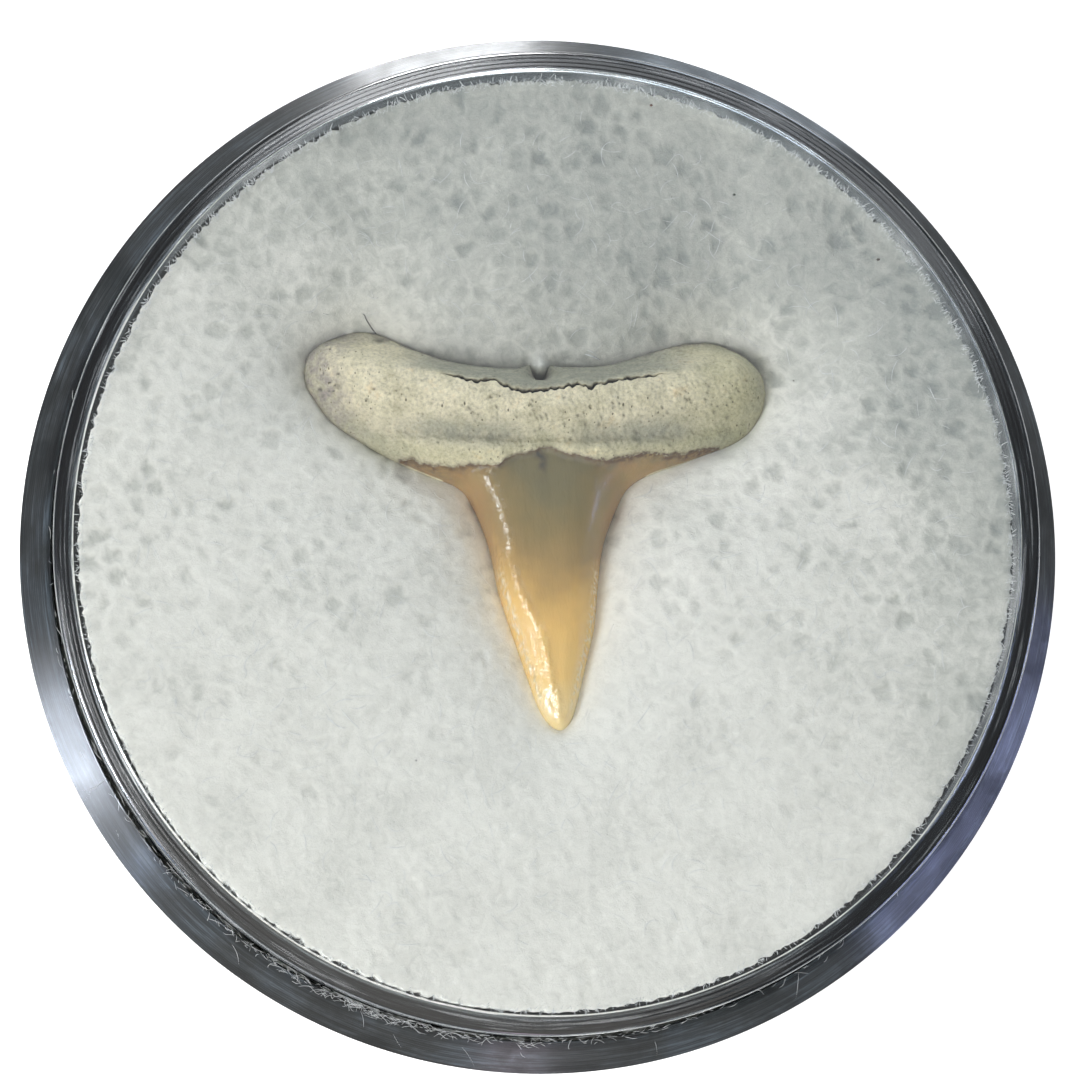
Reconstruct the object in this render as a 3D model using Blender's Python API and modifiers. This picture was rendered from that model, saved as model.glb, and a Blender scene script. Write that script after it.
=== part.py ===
"""Fossil shark tooth in a round screw-top display jar: base, lid, foam pad and tooth.

Metres, +Z up. The origin is the middle of the jar's underside, the tooth's tip points to -Y
and the side of the tooth that faced into the mouth is up, under the window of the lid.
"""

import math

import bmesh
import bpy
import numpy as np

MM = 0.001

# Jar as a whole, in millimetres
JAR_RADIUS = 16.0
JAR_HEIGHT = 16.0
GAP = 0.3
TURN_STEPS = 52

# Base: a moulded cup with a step that the lid's skirt stops on
BASE_HEIGHT = 12.6
BASE_FLOOR = 1.5
BASE_FOOT_RADIUS = 15.3
BASE_WIDEST_Z = 10.0
BASE_RIM_RADIUS = 15.42
BORE_RADIUS = 14.3
BORE_STEP_Z = 7.4
THREAD_BORE_RADIUS = 15.3
MOUTH_RADIUS = 15.15
MOUTH_DEPTH = 0.8
FOOT_GROOVE_RADIUS = 12.0
FOOT_GROOVE_WIDTH = 0.7
FOOT_GROOVE_DEPTH = 0.3

# Lid: a clear cup, upside down, with a flat window
WINDOW_THICKNESS = 0.9
LID_INNER_RADIUS = 14.3
LID_WALL_RADIUS = 14.88
LID_TOP_WALL_RADIUS = 14.82
LID_SKIRT_RADIUS = 14.8
LID_BOTTOM_Z = BORE_STEP_Z + 0.35
LID_EDGE_RADIUS = 0.5

# Screw thread, one bead on the lid's skirt and one in the base, half a pitch apart
THREAD_PITCH = 2.2
THREAD_BEAD_RADIUS = 0.25
THREAD_START_Z = 8.7
LID_THREAD_TURNS = (0.0, 1.15)
BASE_THREAD_TURNS = (0.25, 1.7)
THREAD_STEPS_PER_TURN = 30

# Pad: a foam disc that is pressed down where the tooth lies on it
PAD_RADIUS = LID_INNER_RADIUS - GAP
PAD_TOP_Z = JAR_HEIGHT - WINDOW_THICKNESS - GAP
PAD_EDGE_RADIUS = 0.5
PAD_RINGS = 13
PAD_STEPS = 42
PAD_SINK_GAP = 0.4
PAD_SLOPE_WIDTH = 3.2
PAD_SLOPE_WIDTH_ABOVE_ROOT = 4.6
# Where the tooth presses on it: places along the root and the crown, and half the width there
PRESS_ROOT = ((-5.6, 5.1), (-3.0, 4.3), (0.0, 3.9), (3.0, 4.2), (5.1, 4.7))
PRESS_ROOT_HALF_WIDTH = 2.1
PRESS_CROWN = ((-0.1, 3.0), (0.0, -0.6), (0.4, -4.6))
PRESS_CROWN_HALF_WIDTH = 1.6

# Tooth, 14.2 mm wide and 12.4 mm long: x to the right, y to the root, z up from its flat side
TOOTH_TILT = math.radians(12.0)
TOOTH_Y = -0.14
ROOT_THICKNESS = 3.35
ROOT_HALF_WIDTH = 7.0
ROOT_END_THINNING = 0.32
ROOT_EDGE_Z = 1.25
CROWN_EDGE_Z = 0.45
CROWN_THICKNESS = 2.45
CROWN_TIP_THICKNESS = 0.7
CROWN_LENGTH = 7.2
CROWN_HALF_WIDTH = 1.65
TIP_HALF_WIDTH = 0.35
ROOT_ROUNDING = 1.0
UNDER_ROUNDING = 0.7
TIP_Y = -5.72
ROOT_LOWER_Y = 2.35
ROOT_SPAN = 3.3
BULGE_Y = 3.75
BULGE_CURVE = 0.035
BULGE_RISE = 0.62
BULGE_WIDTH = 1.15
BASAL_SLOPE_DROP = 0.5
FURROW_Y = 2.87
FURROW_CURVE = 0.02
FURROW_WIDTH = 0.3
FURROW_DEPTH = 0.42
NOTCH_X = -0.13
NOTCH_WIDTH = 0.2
NOTCH_DEPTH = 0.5
CRACK_DEPTH = 0.35
CRACK_WIDTH = 0.14

# Upper edge of the outline, the base of the root, from the left end to the right end
ROOT_EDGE = (
    (-7.33, 5.40), (-7.21, 5.86), (-6.78, 6.28), (-6.05, 6.60), (-5.49, 6.66), (-4.97, 6.56),
    (-4.17, 6.17), (-3.07, 5.76), (-2.09, 5.56), (-1.08, 5.47), (-0.10, 5.52), (0.93, 5.53),
    (1.91, 5.60), (2.94, 5.91), (3.93, 6.24), (4.74, 6.39), (5.45, 6.32), (6.15, 5.93),
    (6.69, 5.32), (6.83, 4.76),
)
# Lower edge, under the left wing, round the crown and back under the right wing
CROWN_EDGE = (
    (-7.33, 5.40), (-7.27, 4.95), (-7.07, 4.56), (-6.57, 3.83), (-5.77, 3.23), (-4.79, 2.65),
    (-3.78, 2.22), (-3.07, 1.98), (-2.58, 1.79), (-2.24, 1.41), (-1.88, 0.58), (-1.64, -0.25),
    (-1.42, -1.39), (-1.11, -2.42), (-0.64, -3.85), (-0.26, -4.98), (0.09, -5.55), (0.46, -5.72),
    (0.76, -5.43), (0.98, -4.76), (1.27, -3.53), (1.50, -2.52), (1.61, -1.47), (1.72, -0.45),
    (1.88, 0.28), (2.11, 0.93), (2.41, 1.61), (2.72, 1.95), (3.30, 2.22), (4.10, 2.48),
    (4.89, 2.77), (5.69, 3.09), (6.28, 3.50), (6.69, 4.15), (6.83, 4.76),
)
# The crack along the root's crest, left end to right end
CRACK_LINE = (
    (-3.4, 4.82), (-2.2, 4.52), (-1.3, 4.32), (-0.5, 4.13), (0.4, 4.24), (1.5, 4.36),
    (2.6, 4.65), (3.8, 4.82),
)
# The row of points that follows the crack, carried on to the ends of the root
CRACK_GUIDE = ((-7.33, 5.40), (-5.4, 5.1), *CRACK_LINE, (5.4, 4.9), (6.83, 4.76))
TOOTH_COLUMNS = 78
ROWS_ABOVE_CRACK = (0, 0.12, 0.4, 0.7)
ROWS_BELOW_CRACK = 9
CROWN_ROWS = 7
UNDER_STEP = 3

PLASTIC_BLACK = (0.012, 0.013, 0.014, 1.0)
PLASTIC_CLEAR = (0.9, 0.93, 0.92, 0.35)
FOAM_WHITE = (0.78, 0.8, 0.77, 1.0)
TOOTH_CREAM = (0.62, 0.53, 0.36, 1.0)


def clear_scene():
    for obj in list(bpy.data.objects):
        bpy.data.objects.remove(obj, do_unlink=True)


def new_collection(name):
    collection = bpy.data.collections.new(name)
    bpy.context.scene.collection.children.link(collection)
    return collection


def new_material(name, colour, roughness, transmission=0.0):
    material = bpy.data.materials.new(name)
    material.use_nodes = True
    shader = material.node_tree.nodes["Principled BSDF"]
    shader.inputs["Base Color"].default_value = colour[:3] + (1.0,)
    shader.inputs["Roughness"].default_value = roughness
    shader.inputs["Metallic"].default_value = 0.0
    shader.inputs["Transmission Weight"].default_value = transmission
    shader.inputs["Alpha"].default_value = colour[3]
    material.diffuse_color = colour
    return material


def object_from_bmesh(name, mesh_data, collection, material=None):
    mesh = bpy.data.meshes.new(name)
    mesh_data.to_mesh(mesh)
    mesh_data.free()
    obj = bpy.data.objects.new(name, mesh)
    collection.objects.link(obj)
    if material:
        mesh.materials.append(material)
    return obj


def shade(obj, angle=35.0):
    obj.data.shade_smooth()
    obj.data.set_sharp_from_angle(angle=math.radians(angle))


def evaluated_mesh(obj, name):
    """The object's mesh with its modifiers or curve bevel applied, and its caps welded."""
    graph = bpy.context.evaluated_depsgraph_get()
    mesh = bpy.data.meshes.new_from_object(obj.evaluated_get(graph))
    mesh.name = name
    data = bmesh.new()
    data.from_mesh(mesh)
    bmesh.ops.remove_doubles(data, verts=data.verts, dist=1e-7)
    data.to_mesh(mesh)
    data.free()
    return mesh


def turned(name, profile, collection):
    """A profile of (radius, height) in millimetres, turned round Z into a solid mesh object."""
    data = bmesh.new()
    verts = [data.verts.new((radius * MM, 0.0, height * MM)) for radius, height in profile]
    for start, end in zip(verts, verts[1:]):
        data.edges.new((start, end))
    obj = object_from_bmesh(name + "_profile", data, collection)
    screw = obj.modifiers.new("Turn", "SCREW")
    screw.axis = "Z"
    screw.steps = TURN_STEPS
    screw.render_steps = TURN_STEPS
    screw.use_merge_vertices = True
    screw.merge_threshold = 0.00001
    bpy.context.view_layer.update()
    mesh = evaluated_mesh(obj, name)
    bpy.data.objects.remove(obj, do_unlink=True)
    result = bpy.data.objects.new(name, mesh)
    collection.objects.link(result)
    return result


def arc(centre, radius, start, end, count):
    """Points on a circle or, with two radii, an ellipse, angles in degrees."""
    wide, high = radius
    angles = [math.radians(start + (end - start) * i / count) for i in range(count + 1)]
    return [(centre[0] + wide * math.cos(a), centre[1] + high * math.sin(a)) for a in angles]


def thread_bead(name, radius, turns, start_z, collection):
    """A screw-thread bead: a round tube along a helix, as a closed mesh object."""
    first, last = turns
    count = round((last - first) * THREAD_STEPS_PER_TURN)
    curve = bpy.data.curves.new(name, "CURVE")
    curve.dimensions = "3D"
    curve.bevel_depth = THREAD_BEAD_RADIUS * MM
    curve.bevel_resolution = 1
    curve.use_fill_caps = True
    spline = curve.splines.new("POLY")
    spline.points.add(count)
    for i, point in enumerate(spline.points):
        turn = first + (last - first) * i / count
        angle = 2 * math.pi * turn
        height = start_z + THREAD_PITCH * turn
        point.co = (radius * MM * math.cos(angle), radius * MM * math.sin(angle), height * MM, 1.0)
    guide = bpy.data.objects.new(name + "_curve", curve)
    collection.objects.link(guide)
    bpy.context.view_layer.update()
    mesh = evaluated_mesh(guide, name)
    bead = bpy.data.objects.new(name, mesh)
    bead.matrix_world = guide.matrix_world
    bpy.data.objects.remove(guide, do_unlink=True)
    collection.objects.link(bead)
    bead.hide_render = True
    bead.display_type = "WIRE"
    return bead


def join_solid(obj, other, name):
    boolean = obj.modifiers.new(name, "BOOLEAN")
    boolean.operation = "UNION"
    boolean.object = other


def base_profile():
    shoulder = arc(
        (BASE_RIM_RADIUS, BASE_WIDEST_Z),
        (JAR_RADIUS - BASE_RIM_RADIUS, BASE_HEIGHT - BASE_WIDEST_Z),
        90, 0, 6,
    )
    foot = arc((BASE_FOOT_RADIUS - 0.5, 0.5), (0.5, 0.5), 0, -90, 3)
    groove_out = FOOT_GROOVE_RADIUS + FOOT_GROOVE_WIDTH / 2
    groove_in = FOOT_GROOVE_RADIUS - FOOT_GROOVE_WIDTH / 2
    return (
        [(0.0, BASE_FLOOR), (BORE_RADIUS, BASE_FLOOR), (BORE_RADIUS, BORE_STEP_Z)]
        + [(THREAD_BORE_RADIUS, BORE_STEP_Z), (THREAD_BORE_RADIUS, BASE_HEIGHT - MOUTH_DEPTH)]
        + [(MOUTH_RADIUS, BASE_HEIGHT - MOUTH_DEPTH), (MOUTH_RADIUS, BASE_HEIGHT - 0.12)]
        + [(MOUTH_RADIUS + 0.1, BASE_HEIGHT)]
        + shoulder
        + foot
        + [(groove_out, 0.0), (groove_out - 0.15, FOOT_GROOVE_DEPTH)]
        + [(groove_in + 0.15, FOOT_GROOVE_DEPTH), (groove_in, 0.0), (0.0, 0.0)]
    )


def make_base(collection, cutters):
    base = turned("base", base_profile(), collection)
    bead = thread_bead(
        "base_thread", THREAD_BORE_RADIUS, BASE_THREAD_TURNS,
        THREAD_START_Z - THREAD_PITCH / 2, cutters,
    )
    join_solid(base, bead, "Thread")
    base.data.materials.append(new_material("black_plastic", PLASTIC_BLACK, 0.25))
    shade(base)
    return base


def lid_profile():
    window_under = JAR_HEIGHT - WINDOW_THICKNESS
    edge = arc(
        (LID_TOP_WALL_RADIUS - LID_EDGE_RADIUS, JAR_HEIGHT - LID_EDGE_RADIUS),
        (LID_EDGE_RADIUS, LID_EDGE_RADIUS),
        0, 90, 4,
    )
    outer = (
        [(LID_SKIRT_RADIUS, LID_BOTTOM_Z), (LID_SKIRT_RADIUS, BASE_HEIGHT - MOUTH_DEPTH)]
        + [(LID_WALL_RADIUS, BASE_HEIGHT - MOUTH_DEPTH + 0.1)]
        + edge
        + [(0.0, JAR_HEIGHT)]
    )
    inner = [
        (LID_INNER_RADIUS, LID_BOTTOM_Z),
        (LID_INNER_RADIUS, window_under - 0.25),
        (LID_INNER_RADIUS - 0.07, window_under - 0.07),
        (LID_INNER_RADIUS - 0.25, window_under),
        (0.0, window_under),
    ]
    return outer[::-1] + inner


def make_lid(collection, cutters):
    lid = turned("lid", lid_profile(), collection)
    bead = thread_bead(
        "lid_thread", LID_SKIRT_RADIUS, LID_THREAD_TURNS, THREAD_START_Z, cutters
    )
    join_solid(lid, bead, "Thread")
    lid.data.materials.append(new_material("clear_plastic", PLASTIC_CLEAR, 0.08, 1.0))
    shade(lid)
    return lid


def smooth_line(points, per_span=8):
    """A Catmull-Rom curve through the points, as an array of finer points."""
    given = np.array(points)
    ends = np.vstack([2 * given[0] - given[1], given, 2 * given[-1] - given[-2]])
    spans = []
    for a, b, c, d in zip(ends, ends[1:], ends[2:], ends[3:]):
        t = np.linspace(0, 1, per_span, endpoint=False)[:, None]
        spans.append(
            0.5 * (2 * b + (c - a) * t + (2 * a - 5 * b + 4 * c - d) * t**2
                   + (3 * b - a - 3 * c + d) * t**3)
        )
    return np.vstack([*spans, given[-1:]])


def along(line, count):
    """Points at even steps of length along a line, both ends included."""
    length = np.r_[0, np.cumsum(np.hypot(*np.diff(line, axis=0).T))]
    wanted = np.linspace(0, length[-1], count)
    return np.stack([np.interp(wanted, length, line[:, i]) for i in range(2)], axis=1)


def distance_to(line, x, y):
    """Distance of each place from a line of points."""
    start, end = line[:-1], line[1:]
    step = end - start
    square = (step**2).sum(axis=1)
    place = np.stack([x.ravel(), y.ravel()], axis=1)[:, None, :]
    share = np.clip(((place - start) * step).sum(axis=2) / square, 0, 1)
    nearest = start + share[..., None] * step
    return np.hypot(*np.moveaxis(place - nearest, 2, 0)).min(axis=1).reshape(x.shape)


def blend(low, high, value):
    """0 below low, 1 above high and a smooth step between them."""
    share = np.clip((value - low) / (high - low), 0, 1)
    return share * share * (3 - 2 * share)


def bump(offset, width):
    return np.exp(-((offset / width) ** 2))


def quarter_round(far, radius):
    """0 at an edge, rising like a quarter circle to 1 at this distance from it."""
    return np.sqrt(1 - (1 - np.clip(far / radius, 0, 1)) ** 2)


def root_edge():
    line = smooth_line(ROOT_EDGE)
    line[:, 1] -= NOTCH_DEPTH * np.exp(-(((line[:, 0] - NOTCH_X) / NOTCH_WIDTH) ** 4))
    return line


def tooth_outline():
    """The whole outline as one closed line, its first point repeated at its end."""
    return np.vstack([root_edge(), smooth_line(CROWN_EDGE)[-2::-1]])


def root_height(x, y):
    """The upper, lingual face of the root: a bulge along it, and a furrow above the crown."""
    share = np.abs(x) / ROOT_HALF_WIDTH
    crest = BULGE_Y + BULGE_CURVE * x**2
    furrow = FURROW_Y + FURROW_CURVE * x**2
    height = ROOT_THICKNESS * (1 - ROOT_END_THINNING * share**2)
    height = height - BULGE_RISE * (1 - bump(y - crest, BULGE_WIDTH))
    height = height - BASAL_SLOPE_DROP * blend(0.5, 1.6, y - crest)
    return height - FURROW_DEPTH * bump(y - furrow, FURROW_WIDTH) * (1 - 0.3 * share)


def crown_height(y):
    """The crown's middle line, from the tip to the root."""
    share = np.clip((y - TIP_Y) / (ROOT_LOWER_Y - TIP_Y), 0, 1)
    return CROWN_TIP_THICKNESS + (CROWN_THICKNESS - CROWN_TIP_THICKNESS) * share**0.8


def tooth_faces(x, y, outline, crack):
    """Heights of the upper and the lower face at each place inside the outline."""
    in_root = blend(ROOT_LOWER_Y - 0.5, ROOT_LOWER_Y + 0.35, y)
    wing = blend(1.6, 3.2, np.abs(x - 0.1))
    in_root = np.maximum(in_root, wing * blend(1.2, 2.4, y))
    edge_z = CROWN_EDGE_Z + (ROOT_EDGE_Z - CROWN_EDGE_Z) * np.maximum(in_root, blend(1.2, 3.4, y))
    far = distance_to(outline, x, y)
    up_crown = np.clip((y - TIP_Y) / CROWN_LENGTH, 0, 1)
    half_width = TIP_HALF_WIDTH + (CROWN_HALF_WIDTH - TIP_HALF_WIDTH) * up_crown**0.75
    rise = quarter_round(far, half_width + (ROOT_ROUNDING - half_width) * in_root)
    top = crown_height(y) + (root_height(x, y) - crown_height(y)) * in_root
    upper = edge_z + (top - edge_z) * rise
    upper = upper - CRACK_DEPTH * bump(distance_to(crack, x, y), CRACK_WIDTH) * rise
    lower = edge_z * (1 - quarter_round(far, UNDER_ROUNDING))
    return upper, lower


def between(start, end, shares):
    return start + (end - start) * np.array(shares)[:, None]


def row_places(top, bottom, x):
    """Rows across each column: one along the crack, two beside it and the last down the crown."""
    root = np.minimum(top - bottom, ROOT_SPAN)
    guide = smooth_line(CRACK_GUIDE)
    crack = np.interp(x, guide[:, 0], guide[:, 1])
    crack = np.clip(crack, top - 0.65 * root, top - 0.2 * root)
    beside = np.minimum(1.5 * CRACK_WIDTH, 0.12 * root)
    middle = np.maximum(ROOT_LOWER_Y - 0.2, bottom + 0.15 * root)
    middle = np.minimum(middle, crack - 2 * beside)
    down_crown = np.sin(np.linspace(0, math.pi / 2, CROWN_ROWS + 1))[1:]
    return np.vstack([
        between(top, crack + beside, ROWS_ABOVE_CRACK),
        between(crack + beside, crack - beside, (0, 0.5)),
        between(crack - beside, middle, np.linspace(0, 1, ROWS_BELOW_CRACK)),
        between(middle, bottom, down_crown),
    ])


def loft(rings, first_end, last_end):
    """A closed surface over rings of equal length, brought to a point at each end."""
    data = bmesh.new()
    start = data.verts.new(first_end)
    loops = [[data.verts.new(point) for point in ring] for ring in rings]
    stop = data.verts.new(last_end)
    count = len(loops[0])
    for i in range(count):
        after = (i + 1) % count
        data.faces.new((start, loops[0][i], loops[0][after]))
        data.faces.new((stop, loops[-1][after], loops[-1][i]))
        for one, two in zip(loops, loops[1:]):
            data.faces.new((one[i], two[i], two[after], one[after]))
    bmesh.ops.recalc_face_normals(data, faces=data.faces)
    return data


def make_tooth(collection):
    upper_line, lower_line = root_edge(), smooth_line(CROWN_EDGE)
    outline = tooth_outline()
    crack = smooth_line(CRACK_LINE)
    ends = along(lower_line, TOOTH_COLUMNS)
    columns = ends[1:-1]
    tops = np.interp(columns[:, 0], upper_line[:, 0], upper_line[:, 1])
    bottoms = columns[:, 1]
    over = row_places(tops, bottoms, columns[:, 0])
    under = over[::UNDER_STEP]
    x_over = np.broadcast_to(columns[:, 0], over.shape)
    x_under = np.broadcast_to(columns[:, 0], under.shape)
    upper, _ = tooth_faces(x_over, over, outline, crack)
    _, lower = tooth_faces(x_under, under, outline, crack)
    rings = []
    for i in range(len(columns)):
        ring = [(x_over[j, i], over[j, i], upper[j, i]) for j in range(len(over))]
        ring += [(x_under[j, i], under[j, i], lower[j, i]) for j in range(len(under) - 2, 0, -1)]
        rings.append([tuple(value * MM for value in point) for point in ring])
    first, last = [(x * MM, y * MM, ROOT_EDGE_Z * MM) for x, y in (ends[0], ends[-1])]
    material = new_material("tooth_cream", TOOTH_CREAM, 0.45)
    tooth = object_from_bmesh("tooth", loft(rings, first, last), collection, material)
    tooth.rotation_euler.x = -TOOTH_TILT
    tooth.location = (0.0, TOOTH_Y * MM, tooth_rest_height() * MM)
    shade(tooth, 60.0)
    return tooth


def tooth_rest_height():
    """Height of the tooth's own origin, with the crest of its bulge one gap below the window."""
    crest = BULGE_Y * -math.sin(TOOTH_TILT) + ROOT_THICKNESS * math.cos(TOOTH_TILT)
    return PAD_TOP_Z - crest


def pressed(line, half_width, slope, x, y):
    """1 within half_width of a line of points, 0 further than the slope beyond that."""
    away = distance_to(smooth_line(line), x, y) - half_width
    return 1 - blend(0.0, 1.0, away / slope)


def pad_top(x, y):
    """Height of the foam: pressed down under the tooth, and sloping up to the window round it."""
    above = blend(3.5, 5.5, y)
    slope = PAD_SLOPE_WIDTH + (PAD_SLOPE_WIDTH_ABOVE_ROOT - PAD_SLOPE_WIDTH) * above
    root = pressed(PRESS_ROOT, PRESS_ROOT_HALF_WIDTH, slope, x, y)
    crown = pressed(PRESS_CROWN, PRESS_CROWN_HALF_WIDTH, PAD_SLOPE_WIDTH, x, y)
    under = tooth_rest_height() - (y - TOOTH_Y) * math.tan(TOOTH_TILT) - PAD_SINK_GAP
    under = np.minimum(under, PAD_TOP_Z)
    return PAD_TOP_Z - (PAD_TOP_Z - under) * (1 - (1 - root) * (1 - crown))


def make_pad(collection):
    data = bmesh.new()
    flat_radius = PAD_RADIUS - PAD_EDGE_RADIUS
    angles = 2 * math.pi * np.arange(PAD_STEPS) / PAD_STEPS
    radii = flat_radius * (np.arange(1, PAD_RINGS + 1) / PAD_RINGS)
    heights = [pad_top(r * np.cos(angles), r * np.sin(angles)) for r in radii]
    middle = data.verts.new((0.0, 0.0, float(pad_top(np.zeros(1), np.zeros(1))[0]) * MM))
    edge = arc((flat_radius, PAD_TOP_Z - PAD_EDGE_RADIUS), (PAD_EDGE_RADIUS,) * 2, 90, 0, 3)[1:]
    bottom = BASE_FLOOR + GAP
    rings = list(zip(radii, heights))
    rings += [(r, np.full(PAD_STEPS, z)) for r, z in edge + [(PAD_RADIUS, bottom)]]
    loops = []
    for radius, height in rings:
        points = zip(radius * np.cos(angles), radius * np.sin(angles), height)
        loops.append([data.verts.new(tuple(v * MM for v in point)) for point in points])
    for i in range(PAD_STEPS):
        after = (i + 1) % PAD_STEPS
        data.faces.new((middle, loops[0][i], loops[0][after]))
        for one, two in zip(loops, loops[1:]):
            data.faces.new((one[i], two[i], two[after], one[after]))
    data.faces.new(loops[-1][::-1])
    bmesh.ops.recalc_face_normals(data, faces=data.faces)
    pad = object_from_bmesh("pad", data, collection, new_material("white_foam", FOAM_WHITE, 0.95))
    shade(pad, 50.0)
    return pad


def main():
    clear_scene()
    parts = new_collection("fossil_tooth_in_jar")
    cutters = new_collection("cutters")
    cutters.hide_render = True
    make_base(parts, cutters)
    make_lid(parts, cutters)
    make_pad(parts)
    make_tooth(parts)


main()
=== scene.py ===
# Finish of a fossil shark tooth in a small round display jar, with the studio round it.
import math

import bpy
import numpy as np
from mathutils import Matrix, Vector, kdtree, noise


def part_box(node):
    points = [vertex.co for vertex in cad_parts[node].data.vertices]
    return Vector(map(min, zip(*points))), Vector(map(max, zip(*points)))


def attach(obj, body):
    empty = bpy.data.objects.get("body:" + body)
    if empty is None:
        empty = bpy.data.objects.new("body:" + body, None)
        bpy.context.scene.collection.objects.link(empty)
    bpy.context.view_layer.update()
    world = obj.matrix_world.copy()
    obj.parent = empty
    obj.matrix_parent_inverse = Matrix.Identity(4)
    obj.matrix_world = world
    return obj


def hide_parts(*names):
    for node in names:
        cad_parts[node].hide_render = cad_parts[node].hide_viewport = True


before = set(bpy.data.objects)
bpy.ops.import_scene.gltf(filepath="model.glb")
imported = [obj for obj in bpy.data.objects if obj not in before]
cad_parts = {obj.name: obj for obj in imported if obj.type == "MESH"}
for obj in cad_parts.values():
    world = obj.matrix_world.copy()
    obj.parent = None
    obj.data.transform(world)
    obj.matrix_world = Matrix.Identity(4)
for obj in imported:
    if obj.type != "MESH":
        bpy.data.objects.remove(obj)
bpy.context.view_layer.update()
print("frame: " + ", ".join(sorted(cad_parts)))

mm = 0.001
# low and high corner of each
cadSizes = {node: np.array(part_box(node)) / mm for node in ("base", "lid", "pad")}


def hexToLinear(code):
    channels = [int(code[i:i + 2], 16) / 255 for i in (1, 3, 5)]
    linear = [c / 12.92 if c <= 0.04045 else ((c + 0.055) / 1.055) ** 2.4 for c in channels]
    return (*linear, 1.0)


def addNode(tree, kind, values=None, links=None, stops=None, **settings):
    # values and links are keyed by socket; stops are a ramp's places and hex colours
    node = tree.nodes.new("ShaderNode" + kind)
    for setting, value in settings.items():
        setattr(node, setting, value)
    for socket, value in (values or {}).items():
        node.inputs[socket].default_value = value
    for socket, source in (links or {}).items():
        tree.links.new(source, node.inputs[socket])
    if stops:
        elements = node.color_ramp.elements
        elements.remove(elements[1])
        elements[0].position, elements[0].color = stops[0][0], hexToLinear(stops[0][1])
        for place, code in stops[1:]:
            elements.new(place).color = hexToLinear(code)
    return node


def newMaterial(name, values):
    # gives back its node tree, its shader and the place on the piece in millimetres
    material = bpy.data.materials.new(name)
    material.use_nodes = True
    tree = material.node_tree
    shader = tree.nodes["Principled BSDF"]
    for socket, value in values.items():
        shader.inputs[socket].default_value = value
    coords = addNode(tree, "TexCoord")
    place = addNode(
        tree, "Mapping", {"Scale": (1 / mm,) * 3}, {"Vector": coords.outputs["Object"]}
    ).outputs[0]
    return material, tree, shader, place


def makePiece(name, points, faces, materials, values=None, sharpAngle=None, closed=True):
    # points in millimetres; values holds one number a point under each name
    points = np.asarray(points, float)
    mesh = bpy.data.meshes.new(name)
    if closed:
        corners = points[np.array([face[:3] for face in faces])]
        quads = [face for face in faces if len(face) == 4]
        volume = np.linalg.det(corners).sum()
        if quads:
            volume += np.linalg.det(points[np.array(quads)[:, [0, 2, 3]]]).sum()
        if volume < 0:
            faces = [face[::-1] for face in faces]
    mesh.from_pydata((points * mm).tolist(), [], faces)
    for key, numbers in (values or {}).items():
        mesh.attributes.new(key, "FLOAT", "POINT").data.foreach_set(
            "value", np.asarray(numbers, np.float32).ravel()
        )
    for material in materials:
        mesh.materials.append(material)
    mesh.shade_smooth()
    if sharpAngle:
        mesh.set_sharp_from_angle(angle=math.radians(sharpAngle))
    obj = bpy.data.objects.new(name, mesh)
    bpy.context.scene.collection.objects.link(obj)
    return obj


def gridFaces(rows, columns, wrap=False, first=0):
    # four-sided faces over points kept row by row; wrap joins the last column to the first
    index = first + np.arange(rows * columns).reshape(rows, columns)
    if wrap:
        index = np.hstack([index, index[:, :1]])
    cells = [index[:-1, :-1], index[:-1, 1:], index[1:, 1:], index[1:, :-1]]
    return np.stack(cells, axis=-1).reshape(-1, 4).tolist()


def closedFaces(rows, columns):
    # the wrapped grid, closed by a point beyond the first row and one beyond the last
    faces = gridFaces(rows, columns, wrap=True)
    ends = (rows * columns, rows * columns + 1)
    for i in range(columns):
        after = (i + 1) % columns
        faces.append([ends[0], after, i])
        faces.append([ends[1], (rows - 1) * columns + i, (rows - 1) * columns + after])
    return faces


def smoothLine(points, perSpan=8):
    # a Catmull-Rom curve through the points
    given = np.array(points, float)
    ends = np.vstack([2 * given[0] - given[1], given, 2 * given[-1] - given[-2]])
    spans = []
    for a, b, c, d in zip(ends, ends[1:], ends[2:], ends[3:]):
        t = np.linspace(0, 1, perSpan, endpoint=False)[:, None]
        spans.append(
            0.5 * (2 * b + (c - a) * t + (2 * a - 5 * b + 4 * c - d) * t**2
                   + (3 * b - a - 3 * c + d) * t**3)
        )
    return np.vstack([*spans, given[-1:]])


def distanceTo(line, x, y):
    # distance from a line of points, and how far along the line the nearest place is
    start, step = line[:-1], np.diff(line, axis=0)
    square = (step**2).sum(axis=1)
    length = np.sqrt(square)
    before = np.r_[0, np.cumsum(length)[:-1]]
    places = np.stack([np.ravel(x), np.ravel(y)], axis=1)
    away, run = np.empty(len(places)), np.empty(len(places))
    for first in range(0, len(places), 4000):
        offset = places[first:first + 4000, None, :] - start
        share = np.clip((offset * step).sum(axis=2) / square, 0, 1)
        apart = np.hypot(*np.moveaxis(offset - share[..., None] * step, 2, 0))
        nearest = apart.argmin(axis=1)
        rows = np.arange(len(apart))
        away[first:first + 4000] = apart[rows, nearest]
        run[first:first + 4000] = before[nearest] + share[rows, nearest] * length[nearest]
    return away.reshape(np.shape(x)), run.reshape(np.shape(x))


def blend(low, high, value):
    share = np.clip((value - low) / (high - low), 0, 1)
    return share * share * (3 - 2 * share)


def bump(offset, width):
    return np.exp(-((offset / width) ** 2))


def quarterRound(far, radius):
    return np.sqrt(1 - (1 - np.clip(far / radius, 0, 1)) ** 2)


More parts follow.
